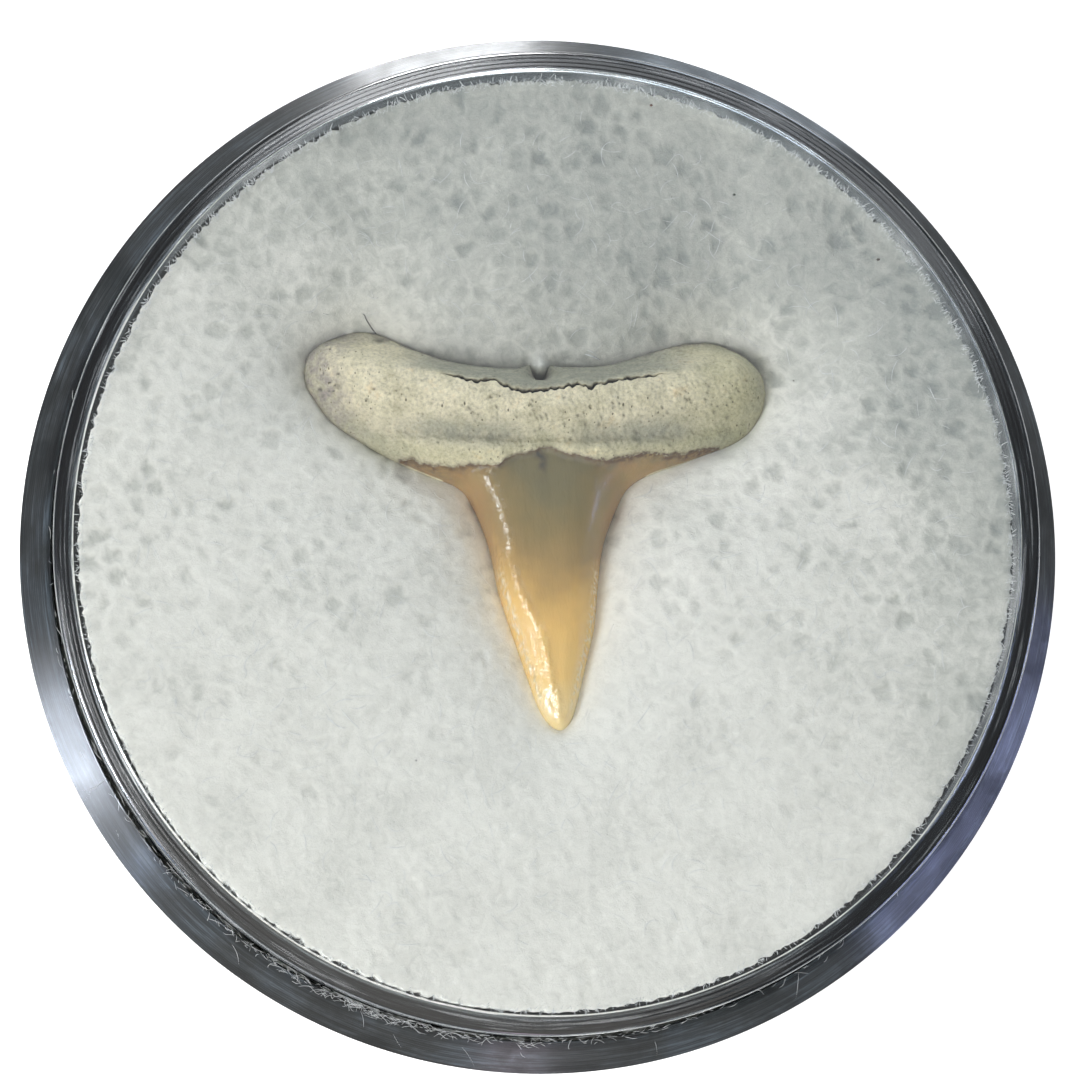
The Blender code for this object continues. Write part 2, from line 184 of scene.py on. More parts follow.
def lumps(x, y, size, octaves=3, layer=0.0):
    # soft noise of about -1 to 1, its lumps this many millimetres across
    flat = zip(np.ravel(x) / size, np.ravel(y) / size)
    made = [noise.fractal(Vector((u, v, layer)), 1.0, 2.0, octaves) for u, v in flat]
    return np.array(made).reshape(np.shape(x))


def arc(centre, radii, start, end, count):
    angles = np.radians(np.linspace(start, end, count + 1))
    return [(centre[0] + radii[0] * math.cos(a), centre[1] + radii[1] * math.sin(a)) for a in angles]


# Camera: looks down on the window, leaning a little towards the lower left
cameraView = {
    "imageSize": (1082, 1080),  # px
    "focalLength": 4989,  # px
    "sensorWidth": 36.0,  # mm
    "lookAt": (0.08, 0.49, 10.2),  # mm
    "distance": 155.1,  # mm
    "tilt": 6.17,  # degrees from straight down
    "turn": -32.72,  # degrees round the jar
}


def makeCamera(view):
    lean, turn = math.radians(view["tilt"]), math.radians(view["turn"])
    back = Vector((
        math.sin(turn) * math.sin(lean), -math.cos(turn) * math.sin(lean), math.cos(lean)
    ))
    right = Vector((0, 1, 0)).cross(back).normalized()
    up = back.cross(right)
    data = bpy.data.cameras.new("camera")
    data.sensor_width = view["sensorWidth"]
    data.lens = view["focalLength"] / view["imageSize"][0] * view["sensorWidth"]
    data.clip_start = 0.005
    camera = bpy.data.objects.new("camera", data)
    turned = Matrix((right, up, back)).transposed().to_4x4()
    centre = (Vector(view["lookAt"]) + back * view["distance"]) * mm
    camera.matrix_world = Matrix.Translation(centre) @ turned
    bpy.context.scene.collection.objects.link(camera)
    bpy.context.scene.camera = camera


# Studio: a pale floor, an even pale room and soft lamps; places in millimetres
studio = {
    "floorSize": 2400,
    "floorColours": ("#f1f1ef", "#f6f6f4"),  # of the paper's faint tooth
    "floorGlow": 0.75,
    "roomStrength": 1.2,
    # sine of the height above the horizon, and colour
    "roomColours": ((0.0, "#d8e0ea"), (0.2, "#c0c8d0"), (0.4, "#5c6066"), (1.0, "#a2a4a6")),
    "aim": (0, 0, 13),
    # each: heading round Z and height above the horizon in degrees, distance, size, glow, colour
    "lamps": {
        "softBoxFront": (246, 46, 104, (140, 96), 1.15, "#fffbf3"),
        "softBoxLeft": (200, 44, 220, (90, 90), 6.6, "#fdfcff"),
        "softBoxBack": (97, 24, 220, (110, 80), 4.5, "#fbfdff"),
    },
    # as the lamps, but seen only in the gloss, and not by matt surfaces
    "cards": {
        "stripLeft": (199, 38, 220, (42, 62), 105.0, "#e6f0ff"),
        "lowStripLeft": (204, 16, 220, (12, 100), 24.0, "#dfe8f6"),
        "lowStripFront": (216, 16, 220, (14, 100), 15.0, "#b8cdf0"),
        "stripBack": (97, 18, 220, (70, 120), 44.0, "#fbfdff"),
        "hazeBack": (66, 18, 220, (84, 120), 13.0, "#d6e4f2"),
        "panelRight": (-23, 4, 230, (178, 60), 15.0, "#a4b0ee"),
        "stripFront": (-90, 14, 220, (24, 100), 7.0, "#ecdcf0"),
        "glareBack": (100, 58, 220, (46, 70), 9.0, "#fbfdff"),
        "glareWide": (76, 58, 220, (210, 70), 2.6, "#eef4fa"),
    },
}


def makeFloor(look):
    half = look["floorSize"] / 2
    corners = [(-half, -half, 0), (half, -half, 0), (half, half, 0), (-half, half, 0)]
    # matt card: no shine, only a faint tooth in the paper
    card, tree, shader, place = newMaterial(
        "mattCard", {"Roughness": 0.9, "Specular IOR Level": 0.2}
    )
    fleck = addNode(tree, "TexNoise", {"Scale": 0.6, "Detail": 4.0}, {"Vector": place})
    tint = addNode(
        tree, "ValToRGB", links={"Fac": fleck.outputs[0]},
        stops=((0.35, look["floorColours"][0]), (0.65, look["floorColours"][1])),
    )
    tree.links.new(tint.outputs[0], shader.inputs["Base Color"])
    shader.inputs["Emission Color"].default_value = hexToLinear("#ffffff")
    shader.inputs["Emission Strength"].default_value = look["floorGlow"]
    floor = makePiece("floor", corners, [[0, 1, 2, 3]], [card], closed=False)


def makeRoom(look):
    # light from all round, bright at the horizon and darker overhead
    world = bpy.data.worlds.new("room")
    world.use_nodes = True
    background = world.node_tree.nodes["Background"]
    sight = addNode(world.node_tree, "TexCoord")
    upward = addNode(world.node_tree, "SeparateXYZ", links={0: sight.outputs["Generated"]})
    sky = addNode(
        world.node_tree, "ValToRGB", links={"Fac": upward.outputs[2]}, stops=look["roomColours"]
    )
    world.node_tree.links.new(sky.outputs[0], background.inputs["Color"])
    background.inputs["Strength"].default_value = look["roomStrength"]
    bpy.context.scene.world = world
    bpy.context.scene.view_settings.view_transform = "Standard"


def makeLamps(look):
    # area lamps that face the aim
    aim = Vector(look["aim"]) * mm
    for name, setting in [*look["lamps"].items(), *look["cards"].items()]:
        heading, height, distance, size, glow, colour = setting
        data = bpy.data.lights.new(name, "AREA")
        data.shape = "RECTANGLE"
        data.size, data.size_y = size[0] * mm, size[1] * mm
        data.energy = glow * math.pi * data.size * data.size_y
        data.color = hexToLinear(colour)[:3]
        heading, height = math.radians(heading), math.radians(height)
        flat = math.cos(height)
        away = Vector((math.cos(heading) * flat, math.sin(heading) * flat, math.sin(height)))
        lamp = bpy.data.objects.new(name, data)
        lamp.location = aim + away * distance * mm
        lamp.rotation_euler = away.to_track_quat("Z", "Y").to_euler()
        lamp.visible_camera = False
        lamp.visible_diffuse = name in look["lamps"]
        bpy.context.scene.collection.objects.link(lamp)


# Screw jar: sizes in millimetres
jar = {
    "radius": cadSizes["base"][1][0],
    "height": cadSizes["lid"][1][2],
    "steps": 384,
    "baseHeight": cadSizes["base"][1][2],
    "floorThickness": 1.5,
    "footRadius": 15.3,
    "widestHeight": 10.0,
    "footFillet": 0.5,
    "shoulder": (0.96, 1.7),  # width and drop of the round that starts at the mouth's lip
    "shoulderCone": 0.18,  # share of the drop that is an even slope
    "ribs": 16,  # fine turned ribs on it, each with a sloping tread
    "treadSlope": 0.7,
    "boreRadius": 14.3,
    "boreFillet": 0.3,
    "boreStepHeight": 7.4,
    "threadBoreRadius": 15.3,
    "mouthRadius": 15.0,
    "mouthDepth": 0.8,
    "lipRadius": 0.04,
    "grooveRadius": 12.0,
    "grooveWidth": 0.7,
    "grooveDepth": 0.3,
    "grooveSlant": 0.15,
    "windowThickness": 0.9,
    "windowRadius": 14.2,
    "windowStep": (0.08, 0.028),  # width and drop of the round from the window down to the ledge
    "ledgeSlope": 0.21,  # the ledge falls away from the window to the lid's edge
    "mouldRings": (0.13, 0.0018),  # spacing and half height of the rings on it
    "mouldRingStep": 0.012,
    "edgeFlat": 0.03,  # a flat ring inside each edge of the window keeps its shading level
    "lidInnerRadius": 14.3,
    "lidInnerFillet": 0.05,
    "lidWallRadius": 14.88,
    "lidTopWallRadius": 14.82,
    "lidSkirtRadius": 14.8,
    "lidBottom": cadSizes["lid"][0][2],
    "lidEdgeRadius": 0.14,
    "threadPitch": 2.2,
    "threadBead": 0.25,
    "threadStart": 8.7,
    "lidThreadTurns": (0.0, 1.15),
    "baseThreadTurns": (0.25, 1.7),
    "threadRows": 90,
    # finishes: name and colours from the dark to the light scratches
    "wallFinish": (
        "mouldedPolystyreneBlack", ((0.34, "#0c0e10"), (0.55, "#16191c"), (0.75, "#25292d"))
    ),
    "shoulderFinish": (
        "turnedPolystyreneBlack", ((0.34, "#0f1316"), (0.5, "#252c31"), (0.68, "#56616a"))
    ),
    "ledgeFinish": (
        "scuffedPolystyreneClear", ((0.45, "#0e1215"), (0.56, "#4a5258"), (0.64, "#dfe3e6"))
    ),
    "lidWallFinish": (
        "rubbedPolystyreneClear", ((0.42, "#454d53"), (0.55, "#838b91"), (0.66, "#dfe3e6"))
    ),
}


def turnedPiece(name, profile, steps, material, bead=None):
    # a profile of radius and height turned round Z, its first and last point on the axis
    radii, heights = np.array(profile, float)[1:-1].T
    angles = 2 * math.pi * np.arange(steps) / steps
    radius = np.repeat(radii[:, None], steps, axis=1)
    height = np.repeat(heights[:, None], steps, axis=1)
    if bead:
        radius = radius + bead(radius, height, angles[None, :])
    rings = np.stack([radius * np.cos(angles), radius * np.sin(angles), height], axis=-1)
    ends = [(0, 0, profile[0][1]), (0, 0, profile[-1][1])]
    points = np.vstack([rings.reshape(-1, 3), ends])
    return makePiece(name, points, closedFaces(len(radii), steps), [material], sharpAngle=40)


def screwBead(surface, turns, start, sign):
    # the moulded thread: a low round bead that climbs the wall of this radius
    def rise(radius, height, angle):
        total = np.zeros(np.broadcast(radius, angle).shape)
        for lap in range(3):
            turn = angle / (2 * math.pi) + lap
            offset = (height - start - jar["threadPitch"] * turn) / jar["threadBead"]
            fade = blend(turns[0], turns[0] + 0.04, turn) * (1 - blend(turns[1] - 0.04, turns[1], turn))
            total = np.maximum(total, np.sqrt(np.clip(1 - offset**2, 0, 1)) * fade)
        return sign * jar["threadBead"] * total * (np.abs(radius - surface) < 0.01)
    return rise


def turnedScratches(tree, place, perMm, drawnOut, downwards, detail, roughness):
    # noise with fine rings round the jar, drawn out along them; downwards slants them on a wall
    parts = addNode(tree, "SeparateXYZ", links={0: place})
    flat = addNode(tree, "VectorMath", {1: (1, 1, 0)}, {0: place}, operation="MULTIPLY")
    radius = addNode(tree, "VectorMath", links={0: flat.outputs[0]}, operation="LENGTH")
    across = addNode(tree, "Math", {1: -downwards}, {0: parts.outputs[2], 2: radius.outputs["Value"]},
                     operation="MULTIPLY_ADD")
    ringed = addNode(tree, "CombineXYZ",
                     links={0: parts.outputs[0], 1: parts.outputs[1], 2: across.outputs[0]})
    scaled = addNode(tree, "VectorMath", {1: (drawnOut, drawnOut, perMm)}, {0: ringed.outputs[0]},
                     operation="MULTIPLY")
    return addNode(tree, "TexNoise", {"Scale": 1.0, "Detail": detail, "Roughness": roughness},
                   {"Vector": scaled.outputs[0]}).outputs[0]


def styreneBlack(name, stops, glossy, matt, relief, turned=False):
    # moulded black polystyrene: deep gloss; the turned shoulder has scratches that drag the light out
    material, tree, shader, place = newMaterial(name, {"IOR": 1.59, "Metallic": 0.0})
    if turned:
        # the scratches smear the gloss across themselves, so outwards and not round the jar
        shader.inputs["Anisotropic"].default_value = 1.0
        shader.inputs["Anisotropic Rotation"].default_value = 0.25
        around = addNode(tree, "Tangent", direction_type="RADIAL", axis="Z")
        tree.links.new(around.outputs[0], shader.inputs["Tangent"])
    # real scratches are some 0.01 mm wide: drawn at 0.05 to 0.1 mm so that they show
    scratch = turnedScratches(tree, place, 6.5, 0.3, 0.6, 5.0, 0.72)
    tint = addNode(tree, "ValToRGB", links={"Fac": scratch}, stops=stops)
    # finger marks and wear in soft patches, warmer where the dust sits
    smudge = addNode(tree, "TexNoise", {"Scale": 0.42, "Detail": 5.0, "Roughness": 0.65, "Distortion": 0.5},
                     {"Vector": place})
    wear = addNode(tree, "ValToRGB", links={"Fac": smudge.outputs[0]},
                   stops=((0.36, "#8c8f8a"), (0.48, "#c8c2b8"), (0.62, "#ffffff")))
    worn = addNode(tree, "Mix", {0: 1.0}, {6: tint.outputs[0], 7: wear.outputs[0]},
                   data_type="RGBA", blend_type="MULTIPLY")
    tree.links.new(worn.outputs[2], shader.inputs["Base Color"])
    dull = addNode(tree, "MapRange",
                   {"From Min": 0.36, "From Max": 0.62, "To Min": matt, "To Max": glossy},
                   {"Value": smudge.outputs[0]})
    tree.links.new(dull.outputs[0], shader.inputs["Roughness"])
    lines = addNode(tree, "Bump", {"Strength": relief, "Distance": 0.01 * mm}, {"Height": scratch})
    tree.links.new(lines.outputs[0], shader.inputs["Normal"])
    return material


def styreneClear():
    # moulded clear polystyrene: polished in the mould, so sharp reflections and clean sight through
    material, tree, shader, place = newMaterial(
        "mouldedPolystyreneClear",
        {"IOR": 1.59, "Transmission Weight": 1.0, "Roughness": 0.0, "Base Color": hexToLinear("#fbfdfc")},
    )
    swirl = addNode(tree, "TexNoise", {"Scale": 0.5, "Detail": 3.0, "Roughness": 0.55}, {"Vector": place})
    relief = addNode(tree, "Bump", {"Strength": 0.2, "Distance": 0.02 * mm}, {"Height": swirl.outputs[0]})
    tree.links.new(relief.outputs[0], shader.inputs["Normal"])
    return material


def styreneScuffed(name, stops):
    # the clear rim and wall where fingers have rubbed them: a grey bloom of turned scratches
    material, tree, shader, place = newMaterial(
        name, {"IOR": 1.59, "Transmission Weight": 0.8, "Roughness": 0.16}
    )
    # drawn at 0.05 mm or more, as on the base
    scratch = turnedScratches(tree, place, 9.0, 0.26, 0.0, 3.0, 0.65)
    tint = addNode(tree, "ValToRGB", links={"Fac": scratch}, stops=stops)
    tree.links.new(tint.outputs[0], shader.inputs["Base Color"])
    relief = addNode(tree, "Bump", {"Strength": 0.3, "Distance": 0.01 * mm}, {"Height": scratch})
    tree.links.new(relief.outputs[0], shader.inputs["Normal"])
    return material


def baseTop(radius):
    # height of the base's lip and shoulder
    wide, drop = jar["shoulder"]
    share = np.clip((radius - jar["radius"] + wide) / wide, 0, 1)
    cone = jar["shoulderCone"]
    return jar["baseHeight"] - drop * (cone * share + (1 - cone) * (1 - np.sqrt(1 - share**2)))


def ribbedShoulder():
    # down the round from the mouth like fine steps
    radii = np.linspace(jar["radius"] - jar["shoulder"][0], jar["radius"], jar["ribs"] + 1)
    points = []
    for radius, after, level in zip(radii, radii[1:], baseTop(radii)):
        foot = level - (after - radius) * jar["treadSlope"]
        points += [(radius, level), (after - 0.004, foot + 0.003), (after, foot - 0.002)]
    return points


def makeBase(rim):
    fillet, foot, lip = jar["boreFillet"], jar["footFillet"], jar["lipRadius"]
    floor, mouth, top = jar["floorThickness"], jar["mouthRadius"], jar["baseHeight"]
    bore = np.linspace(jar["boreStepHeight"], rim, jar["threadRows"])
    grooveOut, grooveIn = [jar["grooveRadius"] + side * jar["grooveWidth"] / 2 for side in (1, -1)]
    profile = (
        [(0, floor), (jar["boreRadius"] - fillet, floor)]
        + arc((jar["boreRadius"] - fillet, floor + fillet), (fillet, fillet), -90, 0, 4)
        + [(jar["boreRadius"], jar["boreStepHeight"])]
        + [(jar["threadBoreRadius"], height) for height in bore]
        + [(mouth, rim), (mouth, top - 1.5 * lip)]
        + arc((mouth + lip, top - lip), (lip, lip), 180, 90, 3)
        + ribbedShoulder()
        + [(jar["radius"], jar["widestHeight"])]
        + arc((jar["footRadius"] - foot, foot), (foot, foot), 0, -90, 8)
        + [(grooveOut, 0), (grooveOut - jar["grooveSlant"], jar["grooveDepth"])]
        + [(grooveIn + jar["grooveSlant"], jar["grooveDepth"]), (grooveIn, 0), (0, 0)]
    )
    thread = screwBead(jar["threadBoreRadius"], jar["baseThreadTurns"],
                       jar["threadStart"] - jar["threadPitch"] / 2, -1)
    moulded = styreneBlack(*jar["wallFinish"], 0.14, 0.3, 0.12)
    base = turnedPiece("jarBase", profile, jar["steps"], moulded, thread)
    base.data.materials.append(styreneBlack(*jar["shoulderFinish"], 0.28, 0.44, 0.5, turned=True))
    shoulderFoot = top - jar["shoulder"][1] - 0.05
    for face in base.data.polygons:
        radius, level = math.hypot(*face.center[:2]) / mm, face.center[2] / mm
        if radius > mouth + lip / 2 and level > shoulderFoot:
            face.material_index = 1
    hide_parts("base")
    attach(base, "root")


def makeLid(rim):
    top, edge, inner = jar["height"], jar["lidEdgeRadius"], jar["lidInnerRadius"]
    under, fillet, flat = top - jar["windowThickness"], jar["lidInnerFillet"], jar["edgeFlat"]
    stepWidth, stepDrop = jar["windowStep"]
    shares = np.linspace(0, 1, 10)
    step = zip(jar["windowRadius"] + stepWidth * shares, top - stepDrop * blend(0, 1, shares))
    spacing, swell = jar["mouldRings"]
    ledgeStart = jar["windowRadius"] + stepWidth
    rings = []
    for radius in np.arange(ledgeStart + 0.01, jar["lidTopWallRadius"] - edge, jar["mouldRingStep"]):
        wave = swell * (math.cos(2 * math.pi * radius / spacing) - 1)
        rings.append((radius, top - stepDrop - jar["ledgeSlope"] * (radius - ledgeStart) + wave))
    corner = rings[-1][1] - 0.01
    skirt = np.linspace(rim, jar["lidBottom"], jar["threadRows"])
    profile = (
        [(0, top), (jar["windowRadius"] - flat, top), *step, *rings]
        + arc((jar["lidTopWallRadius"] - edge, corner - edge), (edge, edge), 78, 0, 8)
        + [(jar["lidWallRadius"], rim + 0.1)]
        + [(jar["lidSkirtRadius"], height) for height in skirt]
        + [(inner, jar["lidBottom"])]
        + arc((inner - fillet, under - fillet), (fillet, fillet), 0, 90, 4)
        + [(inner - fillet - flat, under), (0, under)]
    )
    thread = screwBead(jar["lidSkirtRadius"], jar["lidThreadTurns"], jar["threadStart"], 1)
    lid = turnedPiece("jarLid", profile, jar["steps"], styreneClear(), thread)
    lid.data.materials.append(styreneScuffed(*jar["ledgeFinish"]))
    lid.data.materials.append(styreneScuffed(*jar["lidWallFinish"]))
    for face in lid.data.polygons:
        radius, level = math.hypot(*face.center[:2]) / mm, face.center[2] / mm
        if radius > jar["windowRadius"] + stepWidth / 2 and level > jar["baseHeight"]:
            face.material_index = 1 if level > corner - 0.05 else 2
    # clear plastic casts hardly any shade, and the lamps reach the foam sooner without it
    lid.visible_shadow = False
    lid.visible_diffuse = False
    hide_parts("lid")
    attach(lid, "root")


# Foam pad: sizes in millimetres
pad = {
    "radius": cadSizes["pad"][1][0],
    "top": cadSizes["pad"][1][2],
    "bottom": cadSizes["pad"][0][2],
    "edgeRadius": 0.16,
    "edgeReach": 0.13,  # the cut edge swells out past the solid, almost to the window's edge
    "squares": 272,  # across the top
    "cellSpacing": 0.68,
    "cellDepth": 0.09,
    "cellWarp": 0.17,
    "strandWidth": 0.46,
    "fluffDepth": 0.03,
    # a pair of places is where a change begins and where it ends
    "slopeWidth": 1.0,
    "slopeWidthAboveRoot": 1.4,
    "aboveRoot": ((3.5, 6.5), (5.0, 7.5)),  # along y, and away from the middle
    "nearShare": 0.22,
    "nearSlope": 0.5,
    "farSlope": 2.7,
    "sinkGap": 0.1,  # between the foam and the tooth's flat side
    "hugCrown": 0.56,  # how far the foam rises round the edge of the crown, and of the root
    "hugRoot": 1.4,
    "hugChange": (1.0, 2.8),  # along y, from the crown to the root
    "hugEdge": (-0.6, 0.05),  # from under the tooth to beside it
    "hugNotch": 1.3,  # and how much further in the notch of the root
    "notchSpread": (0.22, 0.35),
    "notchY": 5.35,
    # how grey it looks: painted shade in the open cells, random grey patches, painted shade at the back and
    # on the right side away from the lamps, a painted shadow of the root, and painted light beside the
    # tooth
    "cellGrey": 0.43,
    "cellsShown": (-9.0, 6.0),  # along y; the painted shade in the cells is weaker in front, where the light falls in
    "cloudGrey": 0.16,
    "cloudSize": 2.4,
    "backPaintedShade": 0.5,
    "backFrom": (0.5, 14.0),
    "rightPaintedShade": 0.28,
    "rightFrom": (8.0, 13.0),
    # painted shadow of the root on the foam above it: strength, place and size
    "paintedRootShadow": 0.24,
    "patchPlace": (0.8, 8.3),
    "patchSize": (4.5, 2.2),
    "paintedLightShare": 0.14,  # painted light beside the tooth, lifting the shade round it, and how far it reaches
    "paintedLightReach": 0.8,
    "notches": 300,
    "notchWidth": (0.05, 0.25),
    "notchDepth": (0.02, 0.09),
    "raggedness": 0.07,
    "edgeFibres": 3500,
    "edgeFibreLength": (0.05, 0.19),
    "edgeFibreWidth": (0.009, 0.02),
    "topFibres": 900,
    "topFibreLength": (0.25, 1.0),
    "topFibreWidth": (0.01, 0.02),
    "topFibreMargin": 1.2,
    "seed": 11,
}


def foamTop(x, y):
    # the tooth lies sunk in it: it closes round the edge and rises to the window beyond
    outside = outlineDistance(x, y)
    behind, besideRoot = pad["aboveRoot"]
    above = blend(*behind, y) * (1 - blend(*besideRoot, np.abs(x)))
    slope = pad["slopeWidth"] + (pad["slopeWidthAboveRoot"] - pad["slopeWidth"]) * above
    hug = pad["hugCrown"] + (pad["hugRoot"] - pad["hugCrown"]) * blend(*pad["hugChange"], y)
    across, along = pad["notchSpread"]
    hug = hug + pad["hugNotch"] * bump(x - tooth["notchX"], across) * bump(y - pad["notchY"], along)
    flatSide = toothRestHeight() - (y - tooth["placeY"]) * math.tan(tooth["tilt"])
    under = flatSide - pad["sinkGap"] + hug * blend(*pad["hugEdge"], outside)
    under = np.minimum(under, pad["top"])
    beside = np.maximum(outside, 0) / slope
    near = pad["nearShare"]
    sunk = near * np.exp(-beside / pad["nearSlope"]) + (1 - near) * np.exp(-beside / pad["farSlope"])
    return pad["top"] - (pad["top"] - under) * sunk


def foamCells(x, y):
    # 0 on the strands between the foam's cells, up to 1 in the middle of an open one
    chance = np.random.default_rng(pad["seed"])
    spacing = pad["cellSpacing"]
    reach = int(pad["radius"] / spacing) + 2
    centres = []
    for row in range(-reach * 2, reach * 2):
        for column in range(-reach, reach + 1):
            shift = chance.uniform(-0.45, 0.45, 2) * spacing
            centres.append(((column + 0.5 * (row % 2)) * spacing + shift[0],
                            row * spacing * 0.866 + shift[1]))
    # many faint cells and a few deep ones
    strength = 0.35 + 0.65 * chance.uniform(0, 1, len(centres)) ** 3
    tree = kdtree.KDTree(len(centres))
    for i, (u, v) in enumerate(centres):
        tree.insert((u, v, 0), i)
    tree.balance()
    warpX = x + pad["cellWarp"] * lumps(x, y, 0.35, 3, 11.0)
    warpY = y + pad["cellWarp"] * lumps(x, y, 0.35, 3, 12.0)
    found = [tree.find_n((u, v, 0), 2) for u, v in zip(warpX.ravel(), warpY.ravel())]
    nearest = np.array([pair[0][1] for pair in found])
    margin = np.array([pair[1][2] - pair[0][2] for pair in found])
    return (strength[nearest] * blend(0.02, pad["strandWidth"], margin)).reshape(x.shape)


def foamMaterial():
    # open-cell foam, cut: chalk white and quite matt; its open cells, its back and its right side are
    # painted greyer as shade, the root's shadow is painted on it, and it is painted lighter beside the
    # tooth
    material, tree, shader, place = newMaterial(
        "openCellFoamWhite",
        {"Roughness": 0.95, "Specular IOR Level": 0.2},
    )
    # the attribute holds random tone, painted shade and painted light on the foam
    toneAndPaintedShade = addNode(tree, "Attribute", attribute_name="toneAndPaintedShade")
    wisps = addNode(tree, "TexNoise", {"Scale": 2.2, "Detail": 4.0, "Roughness": 0.7, "Distortion": 1.6},
                    {"Vector": place})
    depth = addNode(tree, "Math", {1: 0.7, 2: -0.3}, {0: wisps.outputs[0]}, operation="MULTIPLY_ADD")
    shade = addNode(tree, "Math", links={0: toneAndPaintedShade.outputs["Fac"], 1: depth.outputs[0]}, operation="ADD")
    tint = addNode(tree, "ValToRGB", links={"Fac": shade.outputs[0]},
                   stops=((0.0, "#f2f2eb"), (0.22, "#e5e5de"), (0.5, "#c9cbc4"), (1.0, "#989d9a")))
    tree.links.new(tint.outputs[0], shader.inputs["Base Color"])
    # strands of the foam are some 0.05 mm thick
    strands = addNode(tree, "TexNoise", {"Scale": 9.0, "Detail": 4.0, "Roughness": 0.7, "Distortion": 0.8},
                      {"Vector": place})
    relief = addNode(tree, "Bump", {"Strength": 0.6, "Distance": 0.05 * mm},
                     {"Height": strands.outputs[0]})
    tree.links.new(relief.outputs[0], shader.inputs["Normal"])
    return material


def fibreMaterial():
    # polyester lint: fine white strands that catch the light along their length
    material, tree, shader, place = newMaterial(
        "polyesterLintWhite", {"Roughness": 0.45, "Sheen Weight": 0.3, "IOR": 1.5}
    )
    grain = addNode(tree, "TexNoise", {"Scale": 5.0, "Detail": 3.0}, {"Vector": place})
    tint = addNode(tree, "ValToRGB", links={"Fac": grain.outputs[0]},
                   stops=((0.3, "#c9cdcf"), (0.7, "#eceeed")))
    tree.links.new(tint.outputs[0], shader.inputs["Base Color"])
    return material


def makeTubes(name, paths, thickness, material):
    # many fine round fibres in one mesh, all with the same number of points
    paths = np.asarray(paths, float)
    count, points, _ = paths.shape
    sides = 4
    along = np.gradient(paths, axis=1)
    along /= np.linalg.norm(along, axis=2, keepdims=True)
    up = np.where(np.abs(along[..., 2:]) > 0.9, (1.0, 0, 0), (0, 0, 1.0))
    across = np.cross(along, up)
    across /= np.linalg.norm(across, axis=2, keepdims=True)
    over = np.cross(along, across)
    taper = 1 - 0.75 * np.abs(np.linspace(-1, 1, points)) ** 3
    width = np.asarray(thickness)[:, None] * taper / 2
    rings = []
    for side in range(sides):
        turn = 2 * math.pi * side / sides
        offset = across * math.cos(turn) + over * math.sin(turn)
        rings.append(paths + offset * width[..., None])
    rings = np.stack(rings, axis=2)
    faces = []
    for i in range(count):
        first = i * points * sides
        faces += gridFaces(points, sides, wrap=True, first=first)
        last = first + (points - 1) * sides
        faces.append([first + 3, first + 2, first + 1, first])
        faces.append([last, last + 1, last + 2, last + 3])
    return makePiece(name, rings.reshape(-1, 3), faces, [material])


def wander(way, length):
    # the two coordinates of a fibre of this length that heads each way in turn
    return [np.cumsum(part) * length / len(way) for part in (np.cos(way), np.sin(way))]


def discGrid(radius, squares):
    # a square grid bent into a disc, so that its cells are all of much the same size
    u, v = np.meshgrid(*[np.linspace(-1, 1, squares + 1)] * 2, indexing="ij")
    reach = np.maximum(np.abs(u), np.abs(v))
    turn = np.where(
        np.abs(u) > np.abs(v),
        np.pi / 4 * v / np.where(u == 0, 1, u) + np.where(u < 0, np.pi, 0),
        np.pi / 2 - np.pi / 4 * u / np.where(v == 0, 1, v) + np.where(v < 0, np.pi, 0),
    )
    return reach * radius * np.cos(turn), reach * radius * np.sin(turn)


def foamShade(x, y, cells, shown):
    # how grey the top looks, 0 to 1: painted shade in the open cells, random grey patches, painted shade
    # and the root's painted shadow, less where light is painted beside the tooth
    cloudsAndPaintedShade = pad["cloudGrey"] * (lumps(x, y, pad["cloudSize"], 2, 15.0) + 0.35)
    # painted shade at the back and on the right side, away from the lamps
    cloudsAndPaintedShade += pad["backPaintedShade"] * blend(*pad["backFrom"], y + 0.25 * x)
    cloudsAndPaintedShade += pad["rightPaintedShade"] * blend(*pad["rightFrom"], x)
    # the root's painted shadow on the foam above it
    (patchX, patchY), (wide, tall) = pad["patchPlace"], pad["patchSize"]
    cloudsAndPaintedShade += pad["paintedRootShadow"] * bump(x - patchX, wide) * bump(y - patchY, tall)
    # painted light beside the tooth, lifting the shade of the hollow it lies in
    paintedLight = pad["paintedLightShare"] * np.exp(-np.maximum(outlineDistance(x, y), 0) / pad["paintedLightReach"])
    return np.clip(pad["cellGrey"] * cells * shown + cloudsAndPaintedShade - paintedLight, 0, 1)


def knifeNotches(angle):
    # how deep the cut opened cells in the edge, by their heading
    chance = np.random.default_rng(pad["seed"] + 3)
    notched = np.zeros(len(angle))
    for _ in range(pad["notches"]):
        turn = chance.uniform(-math.pi, math.pi)
        wide = chance.uniform(*pad["notchWidth"]) / pad["radius"]
        apart = np.abs((angle - turn + math.pi) % (2 * math.pi) - math.pi)
        notched = np.maximum(notched, chance.uniform(*pad["notchDepth"]) * (1 - apart / wide))
    return notched


